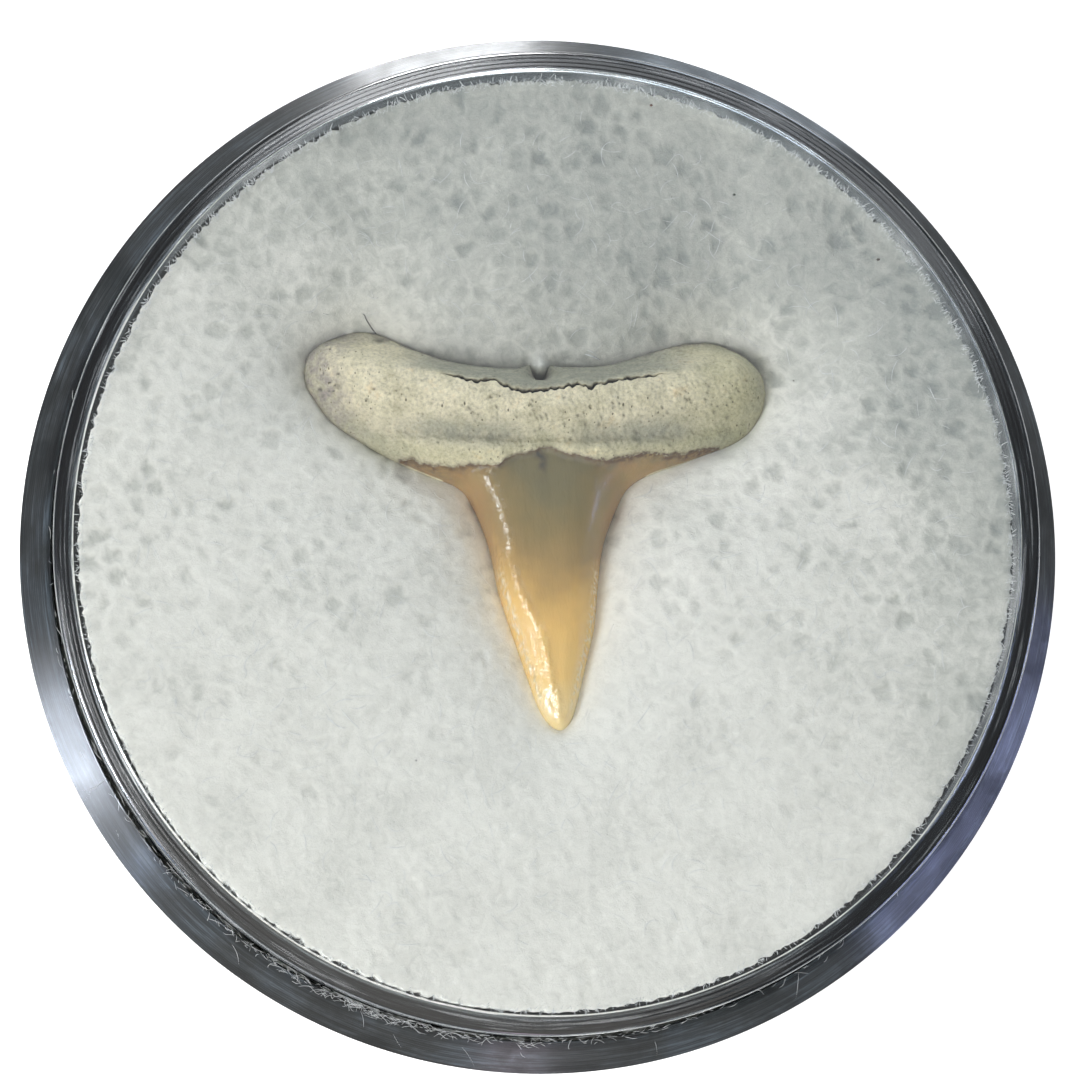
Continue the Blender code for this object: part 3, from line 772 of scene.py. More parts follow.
def makePad():
    squares, flat = pad["squares"], pad["radius"] - pad["edgeRadius"]
    x, y = discGrid(flat, squares)
    cells = foamCells(x, y)
    shown = 1 - 0.8 * (1 - blend(*pad["cellsShown"], y + 0.35 * np.abs(x)))
    toneAndPaintedShade = foamShade(x, y, cells, shown)
    height = foamTop(x, y) - pad["cellDepth"] * cells * (0.5 + 0.5 * shown)
    height += pad["fluffDepth"] * lumps(x, y, 0.45, 3, 4.0)
    faces = [face[::-1] for face in gridFaces(squares + 1, squares + 1)]
    top = np.stack([x, y, height], axis=-1).reshape(-1, 3)
    index = np.arange((squares + 1) ** 2).reshape(squares + 1, -1)
    rim = np.r_[index[:-1, 0], index[-1, :-1], index[:0:-1, -1], index[0, :0:-1]]
    # the side: round over the edge, then straight down, ragged where the knife opened cells
    angle = np.arctan2(top[rim, 1], top[rim, 0])
    notched = knifeNotches(angle)
    ragged = pad["raggedness"] * lumps(14 * np.cos(angle), 14 * np.sin(angle), 0.25, 3, 7.0) - notched
    edge, side = pad["edgeRadius"], pad["top"] - pad["edgeRadius"] - pad["bottom"]
    steps = arc((0, 0), (edge, edge), 90, 0, 4)[1:]
    steps += [(edge, -drop) for drop in np.linspace(0.2, side, 10)]
    points, toneAndShadeParts = [top], [toneAndPaintedShade.ravel()]
    before = rim
    for step, (outward, above) in enumerate(steps):
        share = min(1, (step + 1) / 3)
        radius = flat + outward + (ragged + pad["edgeReach"] - 0.02) * share
        radius = np.minimum(radius, pad["radius"] + pad["edgeReach"])
        level = pad["top"] - edge + above + (top[rim, 2] - pad["top"]) * max(0, 1 - (step + 1) / 6)
        ring = np.stack([radius * np.cos(angle), radius * np.sin(angle), level], axis=1)
        now = sum(len(part) for part in points) + np.arange(len(rim))
        points.append(ring)
        # the knife's notches are painted greyer: painted shade in the opened cells
        toneAndShadeParts.append(np.clip(toneAndPaintedShade.ravel()[rim] + notched * share, 0, 1))
        after = np.roll(now, -1)
        beforeNext = np.roll(before, -1)
        faces += np.stack([before, now, after, beforeNext], axis=1).tolist()
        before = now
    middle = sum(len(part) for part in points)
    points.append(np.array([[0, 0, pad["bottom"]]]))
    toneAndShadeParts.append(np.zeros(1))
    faces += [[int(a), middle, int(b)] for a, b in zip(before, np.roll(before, -1))]
    foam = makePiece("foamPad", np.vstack(points), faces, [foamMaterial()], {"toneAndPaintedShade": np.concatenate(toneAndShadeParts)})
    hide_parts("pad")
    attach(foam, "root")


def makePadFibres(material):
    chance = np.random.default_rng(pad["seed"] + 1)
    share = np.linspace(0, 1, 6)
    paths, thickness, starts, lift = [], [], [], []
    for i in range(pad["edgeFibres"]):
        angle = chance.uniform(0, 2 * math.pi)
        length = chance.uniform(*pad["edgeFibreLength"]) * (1.7 if i % 14 == 0 else 1)
        lean = chance.normal(0, 0.8)
        start = pad["radius"] + chance.uniform(-0.1, 0.08)
        out = start + length * math.cos(lean) * share
        out = np.minimum(out, jar["lidInnerRadius"] - 0.04)
        side = length * math.sin(lean) * share + chance.normal(0, 0.03) * share**2
        turn = angle + side / start
        height = pad["top"] - chance.uniform(0.0, 0.3) + chance.uniform(-0.1, 0.25) * share
        height = np.minimum(height, pad["top"] + 0.2)
        paths.append(np.stack([out * np.cos(turn), out * np.sin(turn), height], axis=1))
        thickness.append(chance.uniform(*pad["edgeFibreWidth"]))
    for _ in range(pad["topFibres"]):
        radius = (pad["radius"] - pad["topFibreMargin"]) * math.sqrt(chance.uniform())
        angle = chance.uniform(0, 2 * math.pi)
        way = chance.uniform(0, 2 * math.pi) + chance.normal(0, 1.2) * share
        across, along = wander(way, chance.uniform(*pad["topFibreLength"]))
        starts.append((radius * math.cos(angle) + across, radius * math.sin(angle) + along))
        lift.append(0.03 + 0.05 * chance.uniform() * np.sin(share * math.pi))
        thickness.append(chance.uniform(*pad["topFibreWidth"]))
    x, y = np.array(starts).transpose(1, 0, 2)
    height = foamTop(x, y) + np.array(lift) - 0.01
    clear = outlineDistance(x, y).min(axis=1) > 0.15
    paths = np.concatenate([np.array(paths), np.stack([x, y, height], axis=-1)[clear]])
    thickness = np.array(thickness)[np.r_[np.ones(pad["edgeFibres"], bool), clear]]
    fibres = makeTubes("foamFibres", paths, thickness, material)
    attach(fibres, "root")


# Tooth in its own frame: x to the right, y to the root, z up from its flat side; millimetres.
# A pair of places is where a change begins and where it ends.
tooth = {
    "tilt": math.radians(12.0),
    "placeY": -0.14,
    "columns": 470,
    "crackRows": 13,
    "rootThickness": 3.35,
    "rootHalfWidth": 7.0,
    "rootEndThinning": 0.32,
    "rootEdgeZ": 1.25,
    "crownEdgeZ": 0.45,
    "crownThickness": 2.45,
    "crownTipThickness": 0.7,
    "crownTaper": 0.8,
    "crownLength": 7.2,
    "crownHalfWidth": 1.65,
    "crownMiddleX": 0.1,
    "tipHalfWidth": 0.35,
    "halfWidthTaper": 0.75,
    "tipSharpening": (-5.4, -4.0),
    "rootRounding": 1.0,
    "underRounding": 0.7,
    "edgeRise": (1.2, 3.4),  # where the widest line climbs from the crown's to the root's height
    "rimRise": (-0.18, 0.42),  # from the enamel line
    "wings": (1.6, 3.2),  # away from the middle of the crown
    "wingRise": (1.2, 2.4),
    "tipY": -5.72,
    "rootLowerY": 2.35,
    "rootSpan": 3.3,
    "bulgeY": 3.75,
    "bulgeCurve": 0.035,
    "bulgeRise": 0.62,
    "bulgeWidth": 1.15,
    "basalSlopeDrop": 0.5,
    "basalSlope": (0.5, 1.6),  # from the crest
    "furrowY": 2.87,
    "furrowCurve": 0.02,
    "furrowWidth": 0.3,
    "furrowDepth": 0.42,
    "furrowEndLoss": 0.3,
    "notchX": -0.13,
    "notchWidth": 0.2,
    "notchDepth": 0.48,
    "lips": ((-0.36, 0.2, 0.09), (0.34, 0.2, 0.05)),  # beside the notch: place from it, width, height
    "crackDepth": 0.4,
    "crackHalfWidth": 0.068,
    "crackJag": 0.12,
    "boundaryJag": 0.05,
    "poreCount": 110,
    "poreSize": (0.022, 0.042),
    "poreLength": (0.9, 1.7),
    "poreDepth": 0.09,
    "poresOnBulge": 0.62,  # share of them in a belt under the crest
    "bulgePoreY": 3.35,
    "rootRelief": ((0.55, 4, 0.065), (0.14, 2, 0.036)),  # lump size, octaves, height
    "creaseDepth": 0.012,
    "shoulderRounding": 0.62,  # of the crown's left edge
    "shoulderPlace": ((-0.9, 0.1), (1.7, 2.4), (-3.0, -2.0)),  # across, at the root, at the tip
    "ridgeHeight": 0.065,
    "ridgeWidth": 0.15,
    "enamelStep": 0.05,
    "lowerEnamelY": 2.1,  # where the enamel ends on the flat side
    "seed": 5,
    "rootEdge": (
        (-7.33, 5.40), (-7.21, 5.86), (-6.78, 6.28), (-6.05, 6.60), (-5.49, 6.66), (-4.97, 6.56),
        (-4.17, 6.17), (-3.07, 5.76), (-2.09, 5.56), (-1.08, 5.47), (-0.10, 5.52), (0.93, 5.53),
        (1.91, 5.60), (2.94, 5.91), (3.93, 6.24), (4.74, 6.39), (5.45, 6.32), (6.15, 5.93),
        (6.69, 5.32), (6.83, 4.76),
    ),
    "crownEdge": (
        (-7.33, 5.40), (-7.27, 4.95), (-7.07, 4.56), (-6.57, 3.83), (-5.77, 3.23), (-4.79, 2.65),
        (-3.78, 2.22), (-3.07, 1.98), (-2.58, 1.79), (-2.24, 1.41), (-1.88, 0.58), (-1.64, -0.25),
        (-1.42, -1.39), (-1.11, -2.42), (-0.64, -3.85), (-0.26, -4.98), (0.09, -5.55), (0.46, -5.72),
        (0.76, -5.43), (0.98, -4.76), (1.27, -3.53), (1.50, -2.52), (1.61, -1.47), (1.72, -0.45),
        (1.88, 0.28), (2.11, 0.93), (2.41, 1.61), (2.72, 1.95), (3.30, 2.22), (4.10, 2.48),
        (4.89, 2.77), (5.69, 3.09), (6.28, 3.50), (6.69, 4.15), (6.83, 4.76),
    ),
    "crackLine": (
        (-3.44, 4.83), (-2.56, 4.61), (-2.17, 4.49), (-1.68, 4.55), (-1.29, 4.30), (-0.78, 4.14),
        (-0.20, 4.15), (0.29, 4.22), (0.80, 4.35), (1.38, 4.32), (1.99, 4.52), (2.57, 4.65),
        (3.19, 4.75), (3.77, 4.82),
    ),
    # where the enamel of the crown ends under the root's rim
    "enamelLine": (
        (-4.74, 2.62), (-4.17, 2.47), (-3.61, 2.27), (-3.19, 2.16), (-2.68, 2.09), (-2.07, 2.10),
        (-1.51, 2.03), (-1.23, 2.20), (-0.90, 2.33), (-0.52, 2.41), (-0.01, 2.53), (0.60, 2.36),
        (1.27, 2.22), (1.70, 2.20), (2.34, 2.32), (2.74, 2.43), (3.48, 2.49), (4.23, 2.63),
        (4.91, 2.84), (5.68, 3.09),
    ),
    "pitPlace": (-5.02, 6.30),
    "pitSize": (0.2, 0.11),
    # the crinkled ridge down the crown that catches the light
    "ridgeLine": (
        (-1.42, -0.35), (-1.30, -0.60), (-1.01, -1.30), (-0.74, -1.91), (-0.39, -2.55), (-0.15, -3.04),
        (0.02, -3.77), (0.17, -4.49), (0.36, -4.95), (0.43, -5.45),
    ),
}


def toothRestHeight():
    # of its own origin, where the crest of the root reaches the foam's top and the window
    lean = tooth["tilt"]
    return pad["top"] + tooth["bulgeY"] * math.sin(lean) - tooth["rootThickness"] * math.cos(lean)


def layDown(x, y, z):
    # from the tooth's own frame to its place on the foam
    lean = -tooth["tilt"]
    laidY = y * math.cos(lean) - z * math.sin(lean) + tooth["placeY"]
    laidZ = y * math.sin(lean) + z * math.cos(lean) + toothRestHeight()
    return np.stack([x, laidY, laidZ], axis=-1)


def edgeHeight(share):
    # of the tooth's widest line over its flat side: share is 0 on the crown, 1 on the root
    return tooth["crownEdgeZ"] + (tooth["rootEdgeZ"] - tooth["crownEdgeZ"]) * share


def acrossRoot(name, x):
    # y of the bulge's crest or of the furrow, both curved towards the root's ends
    return tooth[name + "Y"] + tooth[name + "Curve"] * x**2


def outlineDistance(x, y):
    # seen from above: positive beside the tooth, negative under it
    outline = np.vstack([smoothLine(tooth["rootEdge"], 3), smoothLine(tooth["crownEdge"], 3)[-2::-1]])
    height = edgeHeight(blend(*tooth["edgeRise"], outline[:, 1]))
    outline = layDown(outline[:, 0], outline[:, 1], height)[:, :2]
    away = distanceTo(outline, x, y)[0]
    inside = np.zeros(np.shape(x), bool)
    for (ax, ay), (bx, by) in zip(outline, outline[1:]):
        crosses = (ay > y) != (by > y)
        if ay != by:
            inside ^= crosses & (x < ax + (bx - ax) * (y - ay) / (by - ay))
    return np.where(inside, -away, away)


def rootEdgeLine():
    line = smoothLine(tooth["rootEdge"], 24)
    beside = line[:, 0] - tooth["notchX"]
    for place, width, height in tooth["lips"]:
        line[:, 1] += height * bump(beside - place, width)
    line[:, 1] -= tooth["notchDepth"] * np.exp(-((beside / tooth["notchWidth"]) ** 6))
    return line


def toothSurface(x, y, far, crack, enamel, enamelMiddle, pores):
    # heights of the upper and lower face; the same form as the solid, with the fine relief on it
    share = np.abs(x) / tooth["rootHalfWidth"]
    crest, furrow = acrossRoot("bulge", x), acrossRoot("furrow", x)
    rootTop = tooth["rootThickness"] * (1 - tooth["rootEndThinning"] * share**2)
    rootTop = rootTop - tooth["bulgeRise"] * (1 - bump(y - crest, tooth["bulgeWidth"]))
    rootTop = rootTop - tooth["basalSlopeDrop"] * blend(*tooth["basalSlope"], y - crest)
    trough = tooth["furrowDepth"] * bump(y - furrow, tooth["furrowWidth"])
    rootTop = rootTop - trough * (1 - tooth["furrowEndLoss"] * share)
    up = np.clip((y - tooth["tipY"]) / (tooth["rootLowerY"] - tooth["tipY"]), 0, 1)
    crownRise = (tooth["crownThickness"] - tooth["crownTipThickness"]) * up ** tooth["crownTaper"]
    crownTop = tooth["crownTipThickness"] + crownRise
    # in the middle the crown runs up under the root's rim, at the wings the root comes down
    low, high = tooth["rimRise"]
    inRoot = blend(enamelMiddle + low, enamelMiddle + high, y)
    wing = blend(*tooth["wings"], np.abs(x - tooth["crownMiddleX"]))
    inRoot = inRoot * (1 - wing) + wing * np.maximum(blend(*tooth["wingRise"], y), inRoot)
    edgeZ = edgeHeight(np.maximum(inRoot, blend(*tooth["edgeRise"], y)))
    upCrown = np.clip((y - tooth["tipY"]) / tooth["crownLength"], 0, 1) ** tooth["halfWidthTaper"]
    halfWidth = tooth["tipHalfWidth"] + (tooth["crownHalfWidth"] - tooth["tipHalfWidth"]) * upCrown
    left, rootEnd, tipEnd = tooth["shoulderPlace"]
    tight = (1 - blend(*left, x - 0.08 + 0.06 * y)) * (1 - blend(*rootEnd, y)) * blend(*tipEnd, y)
    halfWidth = halfWidth + (np.minimum(halfWidth, tooth["shoulderRounding"]) - halfWidth) * tight
    halfWidth = halfWidth * (0.5 + 0.5 * blend(*tooth["tipSharpening"], y))
    rise = quarterRound(far, halfWidth + (tooth["rootRounding"] - halfWidth) * inRoot)
    upper = edgeZ + (crownTop + (rootTop - crownTop) * inRoot - edgeZ) * rise
    rough = blend(-0.05, 0.1, -enamel)
    upper = upper + tooth["enamelStep"] * blend(-0.08, 0.02, -enamel) * rise
    for layer, (size, octaves, tall) in enumerate(tooth["rootRelief"]):
        upper = upper + rough * tall * lumps(x, y, size, octaves, 1.0 + layer) * np.minimum(1, far / 0.2)
    ridge = bump(distanceTo(smoothLine(tooth["ridgeLine"]), x, y)[0], tooth["ridgeWidth"])
    ridge = tooth["ridgeHeight"] * ridge * (1 + 0.6 * lumps(x, y, 0.2, 2, 31.0))
    upper = upper + ridge * np.minimum(1, far / 0.15) * (1 - inRoot)
    # the crown's long low creases
    crease = tooth["creaseDepth"] * lumps(x * 2.6, y, 0.9, 2, 21.0)
    upper = upper + (1 - rough) * crease * np.minimum(1, far / 0.3)
    upper = upper - tooth["crackDepth"] * crack * rise - tooth["poreDepth"] * pores * rough
    lower = edgeZ * (1 - quarterRound(far, tooth["underRounding"]))
    return upper, lower


def stain(tree, place, below, attribute, code, noiseScale=None, gain=1.0, least=0.0):
    # puts a colour on where the attribute is high, broken up by noise
    amount = addNode(tree, "Attribute", attribute_name=attribute).outputs["Fac"]
    if noiseScale:
        cloud = addNode(tree, "TexNoise", {"Scale": noiseScale, "Detail": 3.0, "Roughness": 0.65},
                        {"Vector": place})
        patches = addNode(tree, "MapRange",
                          {"From Min": 0.34, "From Max": 0.62, "To Min": least, "To Max": gain},
                          {"Value": cloud.outputs[0]})
        amount = addNode(tree, "Math", links={0: amount, 1: patches.outputs[0]},
                         operation="MULTIPLY", use_clamp=True).outputs[0]
    return addNode(tree, "Mix", {7: hexToLinear(code)}, {0: amount, 6: below},
                   data_type="RGBA").outputs[2]


def dentineWeathered():
    # fossil dentine, weathered: chalky and porous, so dull, cream with grey and rusty patches; painted
    # shade in the furrow, above the crack, and in the crack and pores
    material, tree, shader, place = newMaterial(
        "weatheredDentineCream",
        {"Roughness": 0.85, "IOR": 1.5, "Specular IOR Level": 0.3},
    )
    patch = addNode(tree, "TexNoise", {"Scale": 1.2, "Detail": 6.0, "Roughness": 0.72}, {"Vector": place})
    base = addNode(tree, "ValToRGB", links={"Fac": patch.outputs[0]},
                   stops=((0.32, "#c3ba98"), (0.45, "#e3dab8"), (0.58, "#f5ebcb"), (0.72, "#efd9aa")))
    colour = stain(tree, place, base.outputs[0], "olive", "#bdb98a")
    # painted shade in the furrow and above the crack, and grey at the root's ends
    colour = stain(tree, place, colour, "grey", "#9b9b8a", 2.6, 1.0, 0.6)
    # painted shade on the strip from the crack up
    colour = stain(tree, place, colour, "strip", "#8b8d7a")
    colour = stain(tree, place, colour, "ends", "#a39a94", 3.4, 0.9)
    colour = stain(tree, place, colour, "rim", "#857f78", 2.8, 1.2)
    # pores are 0.03 to 0.1 mm wide
    drawn = addNode(tree, "Mapping", {"Rotation": (0, 0, 0.7), "Scale": (1.0, 0.55, 1.0)},
                    {"Vector": place})
    cells = addNode(tree, "TexVoronoi", {"Scale": 6.5, "Randomness": 1.0}, {"Vector": drawn.outputs[0]})
    size = addNode(tree, "Math", {1: 0.30, 2: -0.07}, {0: cells.outputs["Color"]}, operation="MULTIPLY_ADD")
    dots = addNode(tree, "Math", links={0: cells.outputs["Distance"], 1: size.outputs[0]},
                   operation="LESS_THAN")
    porous = addNode(tree, "Attribute", attribute_name="porous")
    dotShare = addNode(tree, "Math", links={0: dots.outputs[0], 1: porous.outputs["Fac"]},
                       operation="MULTIPLY")
    colour = addNode(tree, "Mix", {7: hexToLinear("#6f674c")}, {0: dotShare.outputs[0], 6: colour},
                     data_type="RGBA").outputs[2]
    # painted shade deep in the crack and the pores
    colour = stain(tree, place, colour, "dark", "#1e160e")
    colour = stain(tree, place, colour, "edgeStain", "#5b4632", 6.0, 1.3, 0.35)
    grain = addNode(tree, "TexNoise", {"Scale": 10.0, "Detail": 3.0, "Roughness": 0.7}, {"Vector": place})
    fleck = addNode(tree, "ValToRGB", links={"Fac": grain.outputs[0]},
                    stops=((0.3, "#cfcfcf"), (0.5, "#f2f2f2"), (0.7, "#ffffff")))
    colour = addNode(tree, "Mix", {0: 1.0}, {6: colour, 7: fleck.outputs[0]},
                     data_type="RGBA", blend_type="MULTIPLY").outputs[2]
    tree.links.new(colour, shader.inputs["Base Color"])
    relief = addNode(tree, "Bump", {"Strength": 0.8, "Distance": 0.035 * mm}, {"Height": grain.outputs[0]})
    tree.links.new(relief.outputs[0], shader.inputs["Normal"])
    return material


def enameloidPolished():
    # fossil enameloid: polished and a little see-through, grey by the root and amber to the tip; painted
    # shade under the root's rim, and painted glints on the edge beads
    material, tree, shader, place = newMaterial(
        "polishedEnameloidAmber",
        {"Roughness": 0.14, "IOR": 1.62, "Subsurface Weight": 0.15,
         "Subsurface Radius": (1.0, 0.55, 0.25), "Subsurface Scale": 0.4 * mm},
    )
    ripple = addNode(tree, "TexNoise", {"Scale": 0.9, "Detail": 3.0}, {"Vector": place})
    level = addNode(tree, "Attribute", attribute_name="level")
    wavy = addNode(tree, "Math", {1: 0.22}, {0: ripple.outputs[0], 2: level.outputs["Fac"]},
                   operation="MULTIPLY_ADD")
    colour = addNode(
        tree, "ValToRGB", links={"Fac": wavy.outputs[0]},
        stops=((0.06, "#fbe2a8"), (0.25, "#f9d080"), (0.42, "#f3c673"), (0.55, "#d3aa62"),
               (0.66, "#a98c56"), (0.80, "#917e4f"), (0.95, "#7b7250"))
    ).outputs[0]
    colour = stain(tree, place, colour, "flank", "#ad8250", 1.2, 1.1)
    # a dark mark, and painted shade along the enamel line under the root's rim
    colour = stain(tree, place, colour, "spotAndRimShade", "#4a4740", 3.0, 1.2)
    colour = stain(tree, place, colour, "edgeStain", "#5a3f27", 5.0, 1.4)
    # lighter beads on the cutting edge: their own relief, and painted glints
    colour = stain(tree, place, colour, "bead", "#f7e6bf")
    tree.links.new(colour, shader.inputs["Base Color"])
    # fine lengthwise creases, some 0.08 mm apart, and a stronger crinkle on the ridge
    stretched = addNode(tree, "Mapping", {"Scale": (9.0, 2.6, 5.0)}, {"Vector": place})
    crease = addNode(tree, "TexNoise", {"Scale": 1.0, "Detail": 3.0, "Roughness": 0.6, "Distortion": 0.6},
                     {"Vector": stretched.outputs[0]})
    beads = addNode(tree, "Attribute", attribute_name="bead")
    beaded = addNode(tree, "Math", {1: 1.6}, {0: beads.outputs["Fac"], 2: crease.outputs[0]},
                     operation="MULTIPLY_ADD")
    crinkle = addNode(tree, "TexNoise", {"Scale": 7.0, "Detail": 2.0, "Roughness": 0.6}, {"Vector": place})
    ridge = addNode(tree, "Attribute", attribute_name="streak")
    crinkled = addNode(tree, "Math", links={0: crinkle.outputs[0], 1: ridge.outputs["Fac"]},
                       operation="MULTIPLY")
    summed = addNode(tree, "Math", {1: 2.6}, {0: crinkled.outputs[0], 2: beaded.outputs[0]},
                     operation="MULTIPLY_ADD")
    relief = addNode(tree, "Bump", {"Strength": 0.8, "Distance": 0.02 * mm}, {"Height": summed.outputs[0]})
    tree.links.new(relief.outputs[0], shader.inputs["Normal"])
    return material


def toothColumns():
    # the grid's columns, and the lines that run across the tooth, each as its y at every column
    upLine, downLine = rootEdgeLine(), smoothLine(tooth["crownEdge"], 24)
    # columns stand closer where either edge is steep
    fine = np.linspace(downLine[0, 0], downLine[-1, 0], 6000)
    ups = np.interp(fine, upLine[:, 0], upLine[:, 1])
    downs = np.interp(fine, downLine[:, 0], downLine[:, 1])
    stride = np.sqrt(np.diff(fine) ** 2 + (0.45 * np.diff(ups)) ** 2 + (0.45 * np.diff(downs)) ** 2)
    measure = np.r_[0, np.cumsum(stride)]
    columns = np.interp(np.linspace(0, measure[-1], tooth["columns"] + 2), measure, fine)[1:-1]
    tops = np.interp(columns, fine, ups)
    bottoms = np.interp(columns, fine, downs)

    # the crack fades in and out at its ends and stays in the upper part of the root
    crackLine = smoothLine(tooth["crackLine"], 24)
    start, end = crackLine[0, 0], crackLine[-1, 0]
    crackY = np.interp(columns, crackLine[:, 0], crackLine[:, 1])
    inCrack = blend(start, start + 0.9, columns) * (1 - blend(end - 1.1, end + 0.1, columns))
    crackY += tooth["crackJag"] * lumps(columns, columns * 0, 0.28, 3, 3.0) * np.sqrt(inCrack)
    root = np.minimum(tops - bottoms, tooth["rootSpan"])
    crackY = np.clip(crackY, tops - 0.65 * root, tops - 0.2 * root)
    crackHalf = tooth["crackHalfWidth"] * inCrack * (1 + 0.7 * lumps(columns, columns * 0, 0.3, 3, 6.0))

    enamelLine = smoothLine(tooth["enamelLine"], 12)
    enamelMiddle = np.interp(columns, enamelLine[:, 0], enamelLine[:, 1])
    # towards its ends the line sinks under the tooth's lower edge
    onLine = blend(enamelLine[0, 0] - 0.4, enamelLine[0, 0] + 0.8, columns)
    onLine *= 1 - blend(enamelLine[-1, 0] - 0.8, enamelLine[-1, 0] + 0.4, columns)
    enamelY = bottoms - 0.15 + (enamelMiddle - bottoms + 0.15) * onLine
    enamelY += tooth["boundaryJag"] * lumps(columns, columns * 0 + 5, 0.3, 3, 9.0)
    return {
        "x": columns, "outline": np.vstack([upLine, downLine[-2::-1]]),
        "ends": (downLine[0, 0], downLine[-1, 0]), "top": tops, "bottom": bottoms, "root": root,
        "crack": crackY, "inCrack": inCrack, "crackHalf": crackHalf,
        "enamel": enamelY, "enamelMiddle": enamelMiddle,
    }


def toothRows(lines):
    # rows of points down the upper face, close together at the crack and the rim, and back below
    tops, bottoms, crackY, enamelY = [lines[key] for key in ("top", "bottom", "crack", "enamel")]
    root = lines["root"]
    beside = np.minimum(0.11, 0.1 * root)
    # the stretch of close rows over the step where root and enamel meet
    rimTop = np.maximum(enamelY + 0.22, bottoms + 0.25 * root)
    rimTop = np.minimum(rimTop, crackY - 2 * beside - 0.05)
    raised = blend(-0.1, 0.3, enamelY - bottoms)
    rimLow = bottoms + 0.7 * (rimTop - bottoms) * (1 - raised)
    rimLow += raised * np.maximum(enamelY - 0.16 - bottoms, 0.12 * (rimTop - bottoms))
    rimLow = np.minimum(rimLow, rimTop - 0.02)

    def between(start, end, shares):
        return start + (end - start) * np.asarray(shares)[:, None]

    quarter = np.linspace(0, math.pi / 2, 71)
    even = np.linspace(1, -1, 2 * (tooth["crackRows"] // 2) + 1)
    over = np.vstack([
        between(tops, crackY + beside, np.linspace(0, 1, 26, endpoint=False) ** 1.5),
        crackY + beside * (np.sign(even) * np.abs(even) ** 1.5)[:, None],
        between(crackY - beside, rimTop, np.linspace(0, 1, 49)[1:]),
        between(rimTop, rimLow, np.linspace(0, 1, 17)[1:]),
        between(rimLow, bottoms, (np.sin(quarter) + 2 * quarter / math.pi)[1:] / 2),
    ])
    under = between(bottoms, tops, (1 - np.cos(np.linspace(0, math.pi, 24))) / 2)[1:-1]
    upside = np.r_[np.ones(len(over)), np.zeros(len(under))][:, None] * np.ones_like(tops)
    return np.vstack([over, under]), upside


def toothPores(x, y):
    # crowded low on the bulge and loose elsewhere, each a short slanting slot; and one larger pit
    chance = np.random.default_rng(tooth["seed"])
    pores = np.zeros_like(y)
    for _ in range(tooth["poreCount"]):
        px = chance.uniform(-6.9, 6.4)
        if chance.uniform() < tooth["poresOnBulge"]:
            py = tooth["bulgePoreY"] + 0.03 * px**2 + chance.normal(0, 0.22)
        else:
            py = chance.uniform(2.5, 6.2)
        size = chance.uniform(*tooth["poreSize"])
        lean = chance.uniform(-1.0, 0.2)
        u = (x - px) * math.cos(lean) + (y - py) * math.sin(lean)
        v = (y - py) * math.cos(lean) - (x - px) * math.sin(lean)
        long = chance.uniform(*tooth["poreLength"])
        strength = chance.uniform(0.5, 1)
        pores = np.maximum(pores, strength * np.exp(-((u / size / long) ** 2 + (v / size) ** 2)))
    pitX, pitY = tooth["pitPlace"]
    wide, tall = tooth["pitSize"]
    return np.maximum(pores, np.exp(-(((x - pitX) / wide) ** 2 + ((y - pitY) / tall) ** 2)))


# Colours of the tooth: how strong each is, 0 to 1, and in millimetres where it lies. A pair is where
# a change begins and where it ends, and a width is that of a soft patch.
stains = {
    # painted shade in the furrow's two halves and above the crack, and grey at the edge of the root's ends
    "furrow": 0.9,
    "furrowWidth": 0.36,
    "furrowHalf": 2.6,
    "furrowFade": (0.8, 2.4),
    "aboveCrack": 0.95,
    "aboveCrackFrom": (0.02, 0.3),
    "aboveCrackEnds": (3.0, 5.2),
    "endEdge": 0.6,
    "endEdgeFar": (0.1, 0.8),
    "endEdgeFrom": (3.0, 5.5),
    # painted shade on a strip from the crack up
    "strip": 0.75,
    "stripFrom": (0.0, 0.12),
    "stripEnds": (2.2, 4.6),
    # darker along the rough rim of the root
    "rimFar": (0.02, 0.26),
    "rimAboveCrest": (-0.2, 0.4),
    "endsFrom": (5.0, 6.8),
    "endsFar": (0.5, 1.3),
    "oliveFrom": (3.0, 6.5),
    # more pores low on the bulge, at the root's ends and along the enamel
    "poresEverywhere": 0.25,
    "poresY": 3.4,
    "poresWidth": 0.5,
    "poresEnds": (4.5, 6.5),
    # crown: the crinkled ridge, the shoulder above it, and both flanks
    "ridgeWidth": 0.2,
    "shoulderFar": (0.45, 0.3),  # place and width
    "shoulderAbove": (-0.8, -0.2),
    "shoulderLeftOf": (-1.2, -0.6),
    "flank": 0.6,
    "flankFar": (0.05, 0.5),
    "flankAbove": (-1.6, 0.2),
    "wing": 0.65,
    "wingPlace": (2.4, 0.9),  # from the middle, and width
    "wingAbove": (1.2, 1.9),
    # a dark mark under the middle of the root's rim, and painted shade along the enamel line under the rim
    "spotAndRimShade": 0.85,
    "spotPlace": ((-0.16, 0.17), (2.25, 0.5)),  # across and along, each with its width
    "underRimShade": 0.35,
    "underRimPlace": (0.06, 0.16),
    # small beads along the crown's cutting edge, painted lighter, partly as glints on them
    "beads": 0.9,
    "beadSize": 0.1,
    "beadPlace": (0.12, 0.11),
    "beadsBelow": (-1.4, -0.4),
    "beadsAbove": (-5.5, -4.6),
}


